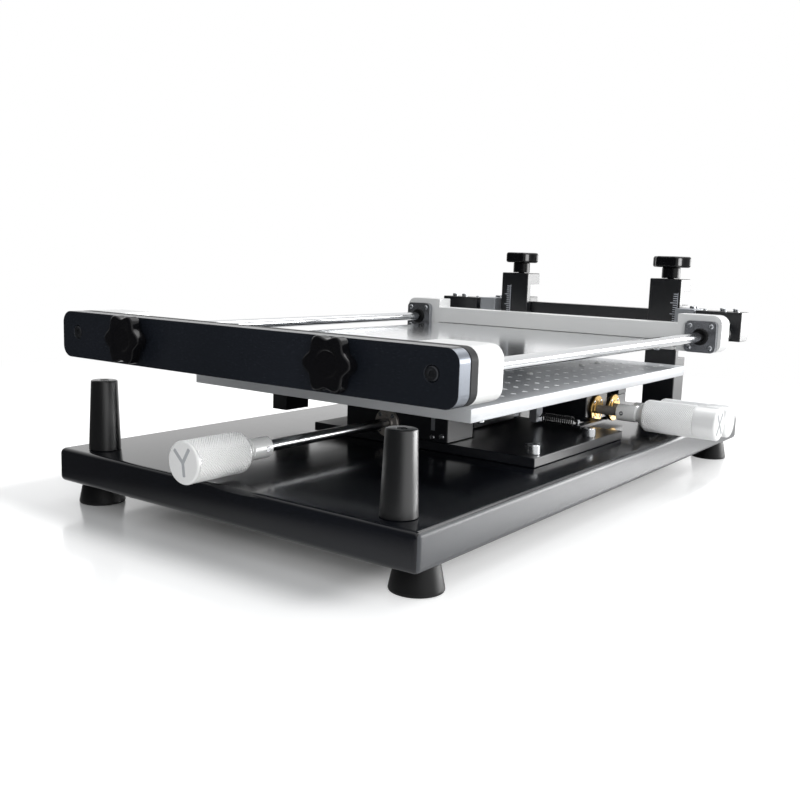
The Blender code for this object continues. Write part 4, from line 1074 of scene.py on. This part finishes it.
class PRINTER_OT_slides(bpy.types.Operator):
    """Builds the Y and X slides with their rails, blocks and flanged nuts"""
    bl_idname = "printer.slides"
    bl_label = "Slides"

    edge_share = 0.8
    pivot_edge = 0.3 * MM
    bracket_edge = 0.4 * MM
    foot_level = 22 * MM
    thin_foot_level = 14.5 * MM
    near = 0.1 * MM
    pin_radius = 1.8 * MM
    pin_height = 5.1 * MM
    pin_edge = 0.5 * MM
    pin_offset = 1.9 * MM
    pin_sink = 0.1 * MM

    def execute(self, context):
        edge = looks().edge * self.edge_share
        for node in ("y_slide_plate", "x_slide_plate", "turn_nut_block"):
            dressed(node, "anodised", edge)
        self.nut_block(edge)
        for node in ("x_rail_front", "x_rail_rear"):
            dressed(node, "oxide", rail_edge)
        dressed("pivot_pin", "zinc", self.pivot_edge)
        dressed("spring_bracket", "grey_aluminium", self.bracket_edge)
        nut_flange("x_nut_flange", "X", "brass")
        nut_flange("turn_nut_flange", "X", "brass")
        return {"FINISHED"}

    def nut_block(self, edge):
        """The X nut block. Its foot is milled thin, so that the flange shows, and a pin holds the spring."""
        thick, thin = deck + self.foot_level, deck + self.thin_foot_level
        piece = from_cad("x_nut_block")
        for vertex in piece.data.vertices:
            if abs(vertex.co.z - thick) < self.near:
                vertex.co.z = thin
        stands_for(ease(piece, edge), "x_nut_block", "anodised")
        low, middle, size = measured("return_spring")
        pin = turned([(0, 0), (self.pin_radius, 0), (self.pin_radius, self.pin_height - self.pin_edge),
                      (self.pin_radius - self.pin_edge, self.pin_height), (0, self.pin_height)],
                     (low.x + size.x + self.pin_offset, middle.y, thin - self.pin_sink), facets=screw_facets)
        steel(pin, "spring_pin", "y_slide")


class PRINTER_OT_spring(bpy.types.Operator):
    """Winds the return spring between its two anchors"""
    bl_idname = "printer.spring"
    bl_label = "Return spring"

    curls = 14
    points_per_curl = 24
    wire = 0.7 * MM
    coil = 4 * MM
    lead = 3.5 * MM
    lead_step = 1 * MM
    lead_rise_share = 0.4
    centre_y = 351 * MM
    centre_level = 17 * MM
    shading_angle = 60

    def execute(self, context):
        low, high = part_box("return_spring")
        centre = at(0, self.centre_y, self.centre_level)
        pitch = (high.x - low.x - 2 * self.lead) / self.curls
        step, rise = self.lead_step, self.lead_rise_share * self.coil
        points = [(low.x, 0, 0), (low.x + step, 0, 0), (low.x + 2 * step, 0, rise)]
        for i in range(self.curls * self.points_per_curl + 1):
            turn = i / self.points_per_curl
            angle = 2 * math.pi * turn
            points.append((low.x + self.lead + pitch * turn, self.coil * math.sin(angle),
                           self.coil * math.cos(angle)))
        points += [(high.x - 2 * step, 0, rise), (high.x - step, 0, 0), (high.x, 0, 0)]
        curve = bpy.data.curves.new("return_spring_wire", "CURVE")
        curve.dimensions = "3D"
        curve.bevel_depth = self.wire
        curve.bevel_resolution = 2
        curve.use_fill_caps = True
        line = curve.splines.new("POLY")
        line.points.add(len(points) - 1)
        for point, (x, y, z) in zip(line.points, points):
            point.co = (x, centre.y + y, centre.z + z, 1)
        only(new_piece("return_spring_wire", curve))
        bpy.ops.object.convert(target="MESH")
        spring = smooth(bpy.context.object, self.shading_angle)
        spring.data.materials.clear()
        spring.data.materials.append(finishes["spring_wire"])
        spring.name = "return_spring_wire"
        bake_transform(spring)
        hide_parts("return_spring")
        return {"FINISHED"}


class PRINTER_OT_platform(bpy.types.Operator):
    """Builds the turning plate and the perforated platform"""
    bl_idname = "printer.platform"
    bl_label = "Platform"

    # The turning plate's corner block, from the middle line, and how near counts as the same place
    blank_x = -88 * MM
    narrow_x = -117 * MM
    near = 0.1 * MM
    on_edge = 0.01 * MM

    # A hole's countersink, the raised rim round it and the facets of one cell
    countersink = 0.7 * MM
    raised = 0.3 * MM
    facets = 16
    rim = 0.5 * MM
    plate_smooth = 40
    hole_margin = 2 * MM
    flat_facing = 0.99

    # Board pins, as column and row of their holes
    pin_holes = ((10, 11), (10, 17), (10, 19))
    pin_radius = 2.9 * MM
    pin_stem_radius = 1.5 * MM
    pin_stem = 1 * MM
    pin_side = 0.5 * MM
    pin_shoulder = 1.3 * MM
    pin_crown = 1.8 * MM
    pin_height = 1.9 * MM

    # The levelling screw below the front corner, and the small screws in the turning plate's front
    corner_x = 131.3 * MM
    corner_y = 146.4 * MM
    corner_tip_radius = 2.2 * MM
    corner_tip = 0.3 * MM
    corner_round_radius = 3.4 * MM
    corner_round = 1.3 * MM
    corner_head_radius = 3.6 * MM
    corner_head = (2.2 * MM, 4.2 * MM)
    corner_neck_radius = 2.4 * MM
    corner_neck = 4.8 * MM
    corner_length = 5.4 * MM
    plate_screw_x = (-87.5 * MM, -83 * MM, -58 * MM, -54 * MM)
    plate_screw_level = 44.6 * MM
    head_radius = 1.3 * MM
    head_height = 0.6 * MM

    def execute(self, context):
        self.turning_plate()
        self.plate()
        self.pins()
        self.screws()
        return {"FINISHED"}

    def turning_plate(self):
        """The turning plate, with its corner block milled narrower than its blank."""
        piece = from_cad("turning_plate")
        for vertex in piece.data.vertices:
            if abs(vertex.co.x - middle_x - self.blank_x) < self.near:
                vertex.co.x = middle_x + self.narrow_x
        stands_for(ease(piece, looks().edge), "turning_plate", "anodised")

    def first_hole(self):
        """The middle of the front left hole."""
        low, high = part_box("platform")
        pitch = looks().hole_pitch
        first = (low + high) / 2
        first -= Vector(((looks().hole_columns - 1) * pitch / 2, (looks().hole_rows - 1) * pitch / 2, 0))
        return Vector((first.x, first.y, high.z))

    def cell(self, thickness):
        """One square of the plate round its countersunk hole, open at its border."""
        pitch, radius = looks().hole_pitch, looks().hole_radius
        sink, raised = self.countersink, self.raised
        mesh = bpy.data.meshes.new("cell")
        cell = bmesh.new()

        def ring(reach, level, square=False):
            corners = []
            for i in range(self.facets):
                angle = 2 * math.pi * i / self.facets
                x, y = math.cos(angle), math.sin(angle)
                scale = reach / max(abs(x), abs(y)) if square else reach
                corners.append(cell.verts.new((scale * x, scale * y, level)))
            return corners

        rings = [ring(pitch / 2, 0, True), ring(radius + sink + raised, 0), ring(radius + sink, raised),
                 ring(radius + 0.4 * sink, raised), ring(radius, -sink), ring(radius, sink - thickness),
                 ring(radius + sink, -thickness), ring(pitch / 2, -thickness, True)]
        for first, second in zip(rings, rings[1:]):
            for i in range(self.facets):
                k = (i + 1) % self.facets
                cell.faces.new((first[i], first[k], second[k], second[i]))
        cell.to_mesh(mesh)
        cell.free()
        return new_piece("platform_finished", mesh)

    def plate(self):
        """The cell repeated over the plate, with the margin round it."""
        low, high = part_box("platform")
        plate = self.cell(high.z - low.z)
        plate.location = self.first_hole()
        settle(plate)
        pitch = looks().hole_pitch
        for count, offset in ((looks().hole_columns, (pitch, 0, 0)), (looks().hole_rows, (0, pitch, 0))):
            apply(plate, "ARRAY", count=count, use_relative_offset=False, use_constant_offset=True,
                  constant_offset_displace=offset, use_merge_vertices=True, merge_threshold=cell_merge)
        self.margin(plate, low, high)
        edit(plate)
        bpy.ops.mesh.remove_doubles(threshold=cell_merge)
        end_edit(face_out=True)
        edit(plate, "EDGE", lambda edge: self.on_rim(plate, edge, low, high))
        bpy.ops.mesh.bevel(offset=self.rim, segments=fine_segments, affect="EDGES")
        end_edit()
        stands_for(smooth(plate, self.plate_smooth), "platform", "platform")
        self.paint_hole_glints(plate, low, high)

    def paint_hole_glints(self, plate, low, high):
        """Gives the countersinks and bores a near white finish: painted glints of light."""
        plate.data.materials.append(finishes["painted_hole_glint"])
        margin = self.hole_margin
        for polygon in plate.data.polygons:
            x, y, z = polygon.center
            if low.x + margin < x < high.x - margin and low.y + margin < y < high.y - margin:
                inside = abs(z - high.z) > self.near and z > low.z + self.near
                if abs(polygon.normal.z) < self.flat_facing or inside:
                    polygon.material_index = 1

    def margin(self, plate, low, high):
        """Draws the open border of the cells out to the platform's edges and closes the sides."""
        for level in (high.z, low.z):
            edit(plate, "EDGE", lambda edge: self.open_at(plate, edge, level))
            bpy.ops.mesh.extrude_region_move(TRANSFORM_OT_translate={"value": (0, 0, 0)})
            end_edit()
            points = [vertex.co for vertex in plate.data.vertices if vertex.select]
            for axis in (0, 1):
                first, last = min(point[axis] for point in points), max(point[axis] for point in points)
                for point in points:
                    if abs(point[axis] - first) < self.on_edge:
                        point[axis] = low[axis]
                    elif abs(point[axis] - last) < self.on_edge:
                        point[axis] = high[axis]
        edit(plate, "EDGE", lambda edge: self.open_at(plate, edge, None))
        bpy.ops.mesh.bridge_edge_loops()
        end_edit()

    def open_at(self, plate, edge, level):
        """True for an edge with one face, at a level if one is given."""
        mesh = plate.data
        if getattr(self, "counted", None) != len(mesh.polygons):
            self.faces_on = {}
            for polygon in mesh.polygons:
                for key in polygon.edge_keys:
                    self.faces_on[key] = self.faces_on.get(key, 0) + 1
            self.counted = len(mesh.polygons)
        if self.faces_on.get(tuple(sorted(edge.vertices)), 0) != 1:
            return False
        return level is None or all(abs(mesh.vertices[v].co.z - level) < self.on_edge for v in edge.vertices)

    def on_rim(self, plate, edge, low, high):
        """True for an edge along the platform's outer rims or corners."""
        points = [plate.data.vertices[v].co for v in edge.vertices]
        sides = 0
        for axis in range(3):
            for value in (low[axis], high[axis]):
                sides += all(abs(point[axis] - value) < self.on_edge for point in points)
        return sides >= 2

    def pins(self):
        """Support pins that stand in a few holes."""
        reach, stem = self.pin_radius, self.pin_stem_radius
        profile = [(0, -self.pin_stem), (stem, -self.pin_stem), (stem, 0), (reach, 0), (reach, self.pin_side),
                   (0.8 * reach, self.pin_shoulder), (0.4 * reach, self.pin_crown), (0, self.pin_height)]
        pitch = looks().hole_pitch
        for number, (column, row) in enumerate(self.pin_holes):
            place = self.first_hole() + Vector((column * pitch, row * pitch, 0))
            done(turned(profile, place, facets=screw_facets), f"board_pin_{number}", "turntable", "nylon")

    def screws(self):
        """The levelling screw below the front corner, and the screws in the turning plate's front."""
        head, neck, length = self.corner_head_radius, self.corner_neck_radius, self.corner_length
        head_start, head_end = self.corner_head
        place = at(self.corner_x, self.corner_y, 0)
        place.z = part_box("platform")[0].z - length
        profile = [(0, 0), (self.corner_tip_radius, self.corner_tip),
                   (self.corner_round_radius, self.corner_round), (head, head_start), (head, head_end),
                   (neck, self.corner_neck), (neck, length), (0, length)]
        steel(turned(profile, place, facets=small_facets), "corner_screw", "turntable")
        face_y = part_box("turning_plate")[0].y - front_y
        for number, x in enumerate(self.plate_screw_x):
            screw_on(f"plate_screw_{number}", "turntable", at(x, face_y, self.plate_screw_level), "-Y",
                     self.head_radius, self.head_height, domed=True)


class PRINTER_OT_knobs(bpy.types.Operator):
    """Builds the three knurled knobs, their screws and the push pad"""
    bl_idname = "printer.knobs"
    bl_label = "Adjusting knobs"

    # A knob along its axis: a neck with a groove, a cone, the knurl and a plain end
    radius = 15.5 * MM
    neck_radius = 8.2 * MM
    neck_edge = 0.6 * MM
    neck_length = 19 * MM
    bore = 4.8 * MM
    bore_depth = 15 * MM
    groove_depth = 1.2 * MM
    groove_width = 3 * MM
    groove_slope = 0.5 * MM
    cone_end = 29 * MM
    cone_edge = 1.2 * MM
    knurl_step = 0.8 * MM
    end_rise = 0.3 * MM
    end_skin = 0.05 * MM
    end_edge = 1.4 * MM
    end_round = 0.5 * MM
    front_plain_end = 2.4 * MM
    x_plain_end = 21 * MM
    turn_plain_end = 20 * MM
    core_facets = 96
    core_smooth = 24

    # The clamping screw in the neck
    set_screw_place = 6 * MM
    set_screw_radius = 2.1 * MM
    set_screw_height = 0.3 * MM
    set_screw_sink = 0.15 * MM

    # The letters on the ends: their height and stroke, how proud they stand, and the front one's tilt
    letter_size = 17 * MM
    stroke = 2.7 * MM
    stroke_steps = 4
    paint = 0.12 * MM
    paint_step = 0.015 * MM
    letter_sink = 0.06 * MM
    front_tilt = 8

    shaft_edge = 0.6 * MM

    def execute(self, context):
        self.knob("y_knob", "-Y", self.front_plain_end, "Y")
        self.knob("x_knob", "X", self.x_plain_end, "X")
        self.knob("turn_knob", "X", self.turn_plain_end, None)
        for node, axis, finish in (("y_screw", "Y", "ground_shaft"), ("x_screw", "X", "dark_shaft"),
                                   ("turn_screw", "X", "dark_shaft")):
            low, middle, size = measured(node)
            place = (low.x, middle.y, middle.z) if axis == "X" else (middle.x, low.y, middle.z)
            length = size.x if axis == "X" else size.y
            stands_for(shaft(size.z / 2, length, self.shaft_edge, place, axis), node, finish)
        self.push_pad()
        return {"FINISHED"}

    def push_pad(self):
        """A short pin with a domed tip."""
        low, middle, size = measured("turn_push_pad")
        radius, length = size.z / 2, size.x
        dome = [(0, 0), (0.45 * radius, 0.15 * radius), (0.8 * radius, 0.45 * radius), (radius, radius),
                (radius, length), (0, length)]
        stands_for(turned(dome, (low.x, middle.y, middle.z), "X", small_facets), "turn_push_pad", "zinc")

    def knob(self, node, axis, plain_end, letter):
        """A turned knob with a diamond knurl, made along +Z from its neck's mouth."""
        low, middle, size = measured(node)
        length = size.x if axis == "X" else size.y
        knurl_start, knurl_end = self.cone_end + self.knurl_step, length - plain_end
        r, n, neck = self.radius, self.neck_radius, self.neck_length
        relief = looks().knurl_depth
        floor = r - 1.5 * relief
        groove = n - self.groove_depth
        profile = [(0, self.bore_depth), (self.bore, self.bore_depth), (self.bore, 0),
                   (n - self.neck_edge, 0),
                   (n, self.neck_edge), (n, neck), (groove, neck + self.groove_slope),
                   (groove, neck + self.groove_width - self.groove_slope), (n, neck + self.groove_width),
                   (r - self.cone_edge, self.cone_end - self.cone_edge / 2),
                   (r - relief, self.cone_end + self.cone_edge / 3), (floor, self.cone_end + self.cone_edge),
                   (floor, knurl_end - self.knurl_step), (r - relief, knurl_end),
                   (r - self.end_skin, knurl_end + self.end_rise), (r, length - self.end_edge),
                   (r - self.end_round, length - self.end_round), (r - self.end_edge, length), (0, length)]
        core = turned(profile, (0, 0, 0), facets=self.core_facets)
        sleeve = self.knurl(knurl_start, knurl_end - self.knurl_step / 2)
        core = joined(smooth(core, self.core_smooth), sleeve)
        high = low + size
        mouth = Vector((low.x, middle.y, middle.z)) if axis == "X" else Vector((middle.x, high.y, middle.z))
        stands_for(turn_to(core, axis, mouth), node, "knob_aluminium")
        self.set_screw(node, axis, mouth)
        if letter:
            self.letter(node, axis, mouth, length, letter)

    def knurl(self, start, stop):
        """A sleeve of raised diamonds: a grid rolled round the knob, with every other point raised."""
        pitch, depth = looks().knurl_pitch, looks().knurl_depth
        around = 2 * round(math.pi * self.radius * 2 / pitch / 2) * 2
        along = 2 * round((stop - start) / pitch)
        bpy.ops.object.select_all(action="DESELECT")
        bpy.ops.mesh.primitive_grid_add(x_subdivisions=around, y_subdivisions=along, size=2)
        sleeve = bpy.context.object
        for vertex in sleeve.data.vertices:
            i = round((vertex.co.x + 1) / 2 * around)
            k = round((vertex.co.y + 1) / 2 * along)
            raised = (i + k) % 2 == 0 and 0 < k < along
            reach = self.radius - (0 if raised else depth)
            angle = 2 * math.pi * i / around
            vertex.co = (reach * math.cos(angle), reach * math.sin(angle), start + (stop - start) * k / along)
        edit(sleeve)
        bpy.ops.mesh.remove_doubles(threshold=cell_merge)
        end_edit()
        # The quads are split between their low corners, so that each raised point is a pyramid
        middle = self.radius - depth / 2
        edit(sleeve, "VERT", lambda vertex: math.hypot(vertex.co.x, vertex.co.y) < middle)
        bpy.ops.mesh.vert_connect()
        end_edit(face_out=True)
        return sleeve

    def set_screw(self, node, axis, mouth):
        """The clamping screw in the neck, on the side that faces front and right."""
        front, right = Vector((0, -1, 0)), Vector((1, 0, 0))
        along, side, out = (right, front, "-Y") if axis == "X" else (front, right, "X")
        place = mouth + along * self.set_screw_place + side * (self.neck_radius - self.set_screw_sink)
        screw_on(node + "_set_screw", body_of_node[node], place, out, self.set_screw_radius,
                 self.set_screw_height)

    def letter(self, node, axis, mouth, length, letter):
        """The axis letter inlaid in the knob's end face."""
        half = self.letter_size / 2
        arm, leg = 0.8 * half, 0.76 * half
        strokes = {"Y": [((0, -half), (0, 0)), ((0, 0), (-arm, half)), ((0, 0), (arm, half))],
                   "X": [((-leg, -half), (leg, half)), ((leg, -half), (-leg, half))]}
        bars = []
        for number, ((x0, z0), (x1, z1)) in enumerate(strokes[letter]):
            run = math.hypot(x1 - x0, z1 - z0)
            outline = round_outline(run + self.stroke, self.stroke, 0.3 * self.stroke, self.stroke_steps)
            # Each stroke is a little higher than the last, so that none lie in one plane where they cross
            bar = slab(outline, self.paint + self.paint_step * number, (0, 0, 0))
            bar.data.transform(Matrix.Rotation(math.atan2(z1 - z0, x1 - x0), 4, "Z"))
            bar.data.transform(Matrix.Translation(((x0 + x1) / 2, (z0 + z1) / 2, 0)))
            bars.append(bar)
        word = joined(*bars)
        tilt = Matrix.Rotation(math.radians(self.front_tilt if letter == "Y" else 0), 4, "Z")
        facing = Matrix.Rotation(math.pi / 2, 4, "X")
        along = Vector((0, -1, 0))
        if axis == "X":
            facing = Matrix.Rotation(math.pi / 2, 4, "Z") @ facing
            along = Vector((1, 0, 0))
        word.data.transform(Matrix.Translation(mouth + along * (length - self.letter_sink)) @ facing @ tilt)
        done(word, node + "_letter", body_of_node[node], "grey_paint")


class PRINTER_OT_stage(bpy.types.Operator):
    """Sets the floor, the lights and the camera"""
    bl_idname = "printer.stage"
    bl_label = "Stage"

    # The camera of the photograph, from the tray's front left top corner, with its angles in degrees
    camera_place = Vector((665.1, -445.1, 160.6)) * MM
    camera_azimuth = 35.86
    camera_elevation = 8.483
    camera_roll = 1.923
    picture_pixels = 800
    focal_pixels = 934.4
    sensor_mm = 36
    clip_start = 10 * MM

    floor_size = 12
    floor_gap = 0.2 * MM
    # A polished table: much of its white is the backdrop's reflection
    floor_finish = {"Roughness": 0.3, "Coat Weight": 1.0, "Coat Roughness": 0.12}
    # How far the printer's shadow lies to its left, how soon the floor clears past it and how much
    shadow_shift = (85 * MM, 0, 0)
    clear_fade = (0.0, 50 * MM)
    clear_strength = 0.40
    # Where the floor turns white to the camera, and sooner in reflections
    seen_fade = (0.5, 1.1)
    mirrored_fade = (0.30, 0.45)
    # In reflections the studio darkens towards the front, from full to dim, over a stretch of the floor
    # and a part of the world
    dim_to_full = (0.05, 1.0)
    floor_backwards = (0.6, 0.8, 0)
    floor_stretch = (-0.38, 0.0)
    world_backwards = (0.35, 0.9, 0.25)
    world_stretch = (-0.5, 0.1)
    # The soft fill, a little stronger from the back
    fill_colour = (0.95, 0.97, 1.0, 1)
    fill_stretch = (-0.6, 0.6)
    fill_strength = (0.45, 0.8)
    white = (1, 1, 1, 1)

    def execute(self, context):
        self.floor()
        self.world()
        self.lamps()
        self.camera()
        bpy.context.scene.view_settings.view_transform = "Standard"
        return {"FINISHED"}

    def floor(self):
        """A pale floor under the feet that fades to white away from the printer."""
        bpy.ops.object.select_all(action="DESELECT")
        level = cad_box[0][2] - self.floor_gap
        bpy.ops.mesh.primitive_plane_add(size=self.floor_size, location=(0, 0, level))
        floor = bpy.context.object
        floor.name = "floor"
        material = bpy.data.materials.new("painted_pale_floor")
        material.use_nodes = True
        tree = material.node_tree
        shader = tree.nodes["Principled BSDF"]
        shader.inputs["Base Color"].default_value = list(looks().floor_colour) + [1.0]
        for socket, value in self.floor_finish.items():
            shader.inputs[socket].default_value = value
        here = add_node(tree, "TexCoord").outputs["Object"]
        ray = add_node(tree, "LightPath").outputs
        distance = add_node(tree, "VectorMath", {"operation": "LENGTH"}, {0: here}).outputs["Value"]
        far = self.faded(tree, distance, self.seen_fade, ray["Is Camera Ray"])
        near = self.faded(tree, distance, self.mirrored_fade, self.mirrored(tree, ray))
        amount = add_node(tree, "Math", {"operation": "ADD"}, {0: far, 1: near})
        # The floor is a shade off white: past the printer's shadow the camera sees it nearer to white
        half = (tray_high - tray_low) / 2
        past = here
        for operation, value in (("ADD", self.shadow_shift), ("ABSOLUTE", (0, 0, 0)),
                                 ("SUBTRACT", (half.x, half.y, 0)), ("MAXIMUM", (0, 0, 0))):
            past = add_node(tree, "VectorMath", {"operation": operation, 1: value},
                            {0: past}).outputs["Vector"]
        away = add_node(tree, "VectorMath", {"operation": "LENGTH"}, {0: past}).outputs["Value"]
        clear = self.faded(tree, away, self.clear_fade, ray["Is Camera Ray"])
        lift = add_node(tree, "Math", {"operation": "MULTIPLY", 1: self.clear_strength}, {0: clear})
        veil = add_node(tree, "Emission", {"Color": self.white}, {"Strength": lift.outputs["Value"]})
        lifted = add_node(tree, "AddShader", {}, {0: shader.outputs["BSDF"], 1: veil.outputs["Emission"]})
        depth = add_node(tree, "VectorMath", {"operation": "DOT_PRODUCT", 1: self.floor_backwards}, {0: here})
        room = self.ramp(tree, depth.outputs["Value"], self.floor_stretch, self.dim_to_full)
        strength = add_node(tree, "Math", {"operation": "MAXIMUM"}, {0: room, 1: ray["Is Camera Ray"]})
        white = add_node(tree, "Emission", {"Color": self.white}, {"Strength": strength.outputs["Value"]})
        mix = add_node(tree, "MixShader", {}, {0: amount.outputs["Value"], 1: lifted.outputs["Shader"],
                                               2: white.outputs["Emission"]})
        tree.links.new(mix.outputs["Shader"], tree.nodes["Material Output"].inputs["Surface"])
        floor.data.materials.append(material)

    def mirrored(self, tree, ray):
        """One for rays that a piece reflects or lets through."""
        links = {0: ray["Is Glossy Ray"], 1: ray["Is Transmission Ray"]}
        return add_node(tree, "Math", {"operation": "MAXIMUM"}, links).outputs["Value"]

    def ramp(self, tree, source, stretch, levels, **settings):
        """A value that runs from one level to the other while its source runs over a stretch."""
        settings.update({"From Min": stretch[0], "From Max": stretch[1]})
        settings.update({"To Min": levels[0], "To Max": levels[1]})
        return add_node(tree, "MapRange", settings, {"Value": source}).outputs["Result"]

    def faded(self, tree, distance, stretch, rays):
        """How much of one kind of ray sees white at a distance from the printer."""
        fade = self.ramp(tree, distance, stretch, (0, 1), interpolation_type="SMOOTHSTEP")
        return add_node(tree, "Math", {"operation": "MULTIPLY"}, {0: fade, 1: rays}).outputs["Value"]

    def world(self):
        """White to the camera; in reflections white all round but darker towards the front, as a
        studio is behind its camera; a plain soft fill otherwise."""
        world = bpy.data.worlds.new("studio")
        bpy.context.scene.world = world
        world.use_nodes = True
        tree = world.node_tree
        tree.nodes.clear()
        ray = add_node(tree, "LightPath").outputs
        direction = add_node(tree, "TexCoord").outputs["Generated"]
        depth = add_node(tree, "VectorMath", {"operation": "DOT_PRODUCT", 1: self.world_backwards},
                         {0: direction})
        room = self.ramp(tree, depth.outputs["Value"], self.world_stretch, self.dim_to_full)
        soft = self.ramp(tree, depth.outputs["Value"], self.fill_stretch, self.fill_strength)
        fill = add_node(tree, "Background", {"Color": self.fill_colour}, {"Strength": soft})
        seen = add_node(tree, "Background", {"Color": self.white}, {"Strength": room})
        white = add_node(tree, "Background", {"Color": self.white, "Strength": 1.0})
        glossy = add_node(tree, "MixShader", {}, {0: self.mirrored(tree, ray), 1: fill.outputs["Background"],
                                                  2: seen.outputs["Background"]})
        mix = add_node(tree, "MixShader", {}, {0: ray["Is Camera Ray"], 1: glossy.outputs["Shader"],
                                               2: white.outputs["Background"]})
        add_node(tree, "OutputWorld", {}, {"Surface": mix.outputs["Shader"]})

    def lamps(self):
        """Large soft lamps: overhead, a low one behind at the right, and two at the front."""
        power = looks().lamp_power
        ground = cad_box[0][2]
        for name, place, aim, width, height, watts in (
                ("overhead", (0.3, 0.7, 1.5), (0, 0, 0.05), 1.3, 1.3, 11),
                ("right_behind", (1.15, 1.4, ground + 0.28), (0.1, 0, ground + 0.12), 1.5, 0.5, 18),
                ("beside_camera", (1.1, -1.4, 0.55), (0, 0, 0.08), 0.9, 0.9, 17),
                ("front_left", (-0.9, -1.3, 0.9), (0, 0, 0.1), 0.9, 0.9, 1.5)):
            data = bpy.data.lights.new(name, "AREA")
            data.shape = "RECTANGLE"
            data.size = width
            data.size_y = height
            data.energy = watts * power
            lamp = new_piece(name, data)
            lamp.location = place
            # The lamps behind show in reflections, and the world draws the rest of the studio there
            lamp.visible_glossy = place[1] > 0
            lamp.rotation_euler = (Vector(aim) - Vector(place)).to_track_quat("-Z", "Y").to_euler()

    def camera(self):
        """The photograph's camera, worked out from the angles it was fitted with."""
        azimuth, elevation = math.radians(self.camera_azimuth), math.radians(self.camera_elevation)
        roll = math.radians(self.camera_roll)
        level = math.cos(elevation)
        forward = Vector((-math.sin(azimuth) * level, math.cos(azimuth) * level, -math.sin(elevation)))
        right = Vector((math.cos(azimuth), math.sin(azimuth), 0))
        up = right.cross(forward)
        tilted_right = math.cos(roll) * right + math.sin(roll) * up
        tilted_up = math.cos(roll) * up - math.sin(roll) * right
        data = bpy.data.cameras.new("photo_camera")
        data.sensor_width = self.sensor_mm
        data.lens = self.focal_pixels / self.picture_pixels * self.sensor_mm
        data.clip_start = self.clip_start
        camera = new_piece("photo_camera", data)
        turn = Matrix((tilted_right, tilted_up, -forward)).transposed()
        place = Vector((tray_low.x, tray_low.y, tray_high.z)) + self.camera_place
        camera.matrix_world = Matrix.Translation(place) @ turn.to_4x4()
        bpy.context.scene.camera = camera


class PRINTER_PT_panel(bpy.types.Panel):
    """Lists the groups of pieces in the sidebar"""
    bl_idname = "PRINTER_PT_panel"
    bl_label = "Stencil printer"
    bl_space_type = "VIEW_3D"
    bl_region_type = "UI"
    bl_category = "Printer"

    def draw(self, context):
        for name in PrinterLooks.__annotations__:
            self.layout.prop(looks(), name)
        for operator in build_order:
            self.layout.operator(operator.bl_idname)


build_order = (PRINTER_OT_finishes, PRINTER_OT_base, PRINTER_OT_towers, PRINTER_OT_lift, PRINTER_OT_frame,
               PRINTER_OT_front_clamp, PRINTER_OT_rear_clamp, PRINTER_OT_stage_base, PRINTER_OT_slides,
               PRINTER_OT_spring, PRINTER_OT_platform, PRINTER_OT_knobs, PRINTER_OT_stage)
classes = (PrinterLooks,) + build_order + (PRINTER_PT_panel,)


def register():
    """Makes the add-on's classes and its looks known."""
    for item in classes:
        bpy.utils.register_class(item)
    bpy.types.Scene.printer_looks = PointerProperty(type=PrinterLooks)


def unregister():
    """Takes the add-on's classes and its looks away again."""
    del bpy.types.Scene.printer_looks
    for item in reversed(classes):
        bpy.utils.unregister_class(item)


def main():
    """Builds everything in order."""
    register()
    for operator in build_order:
        group, name = operator.bl_idname.split(".")
        getattr(getattr(bpy.ops, group), name)()


if __name__ == "__main__":
    main()
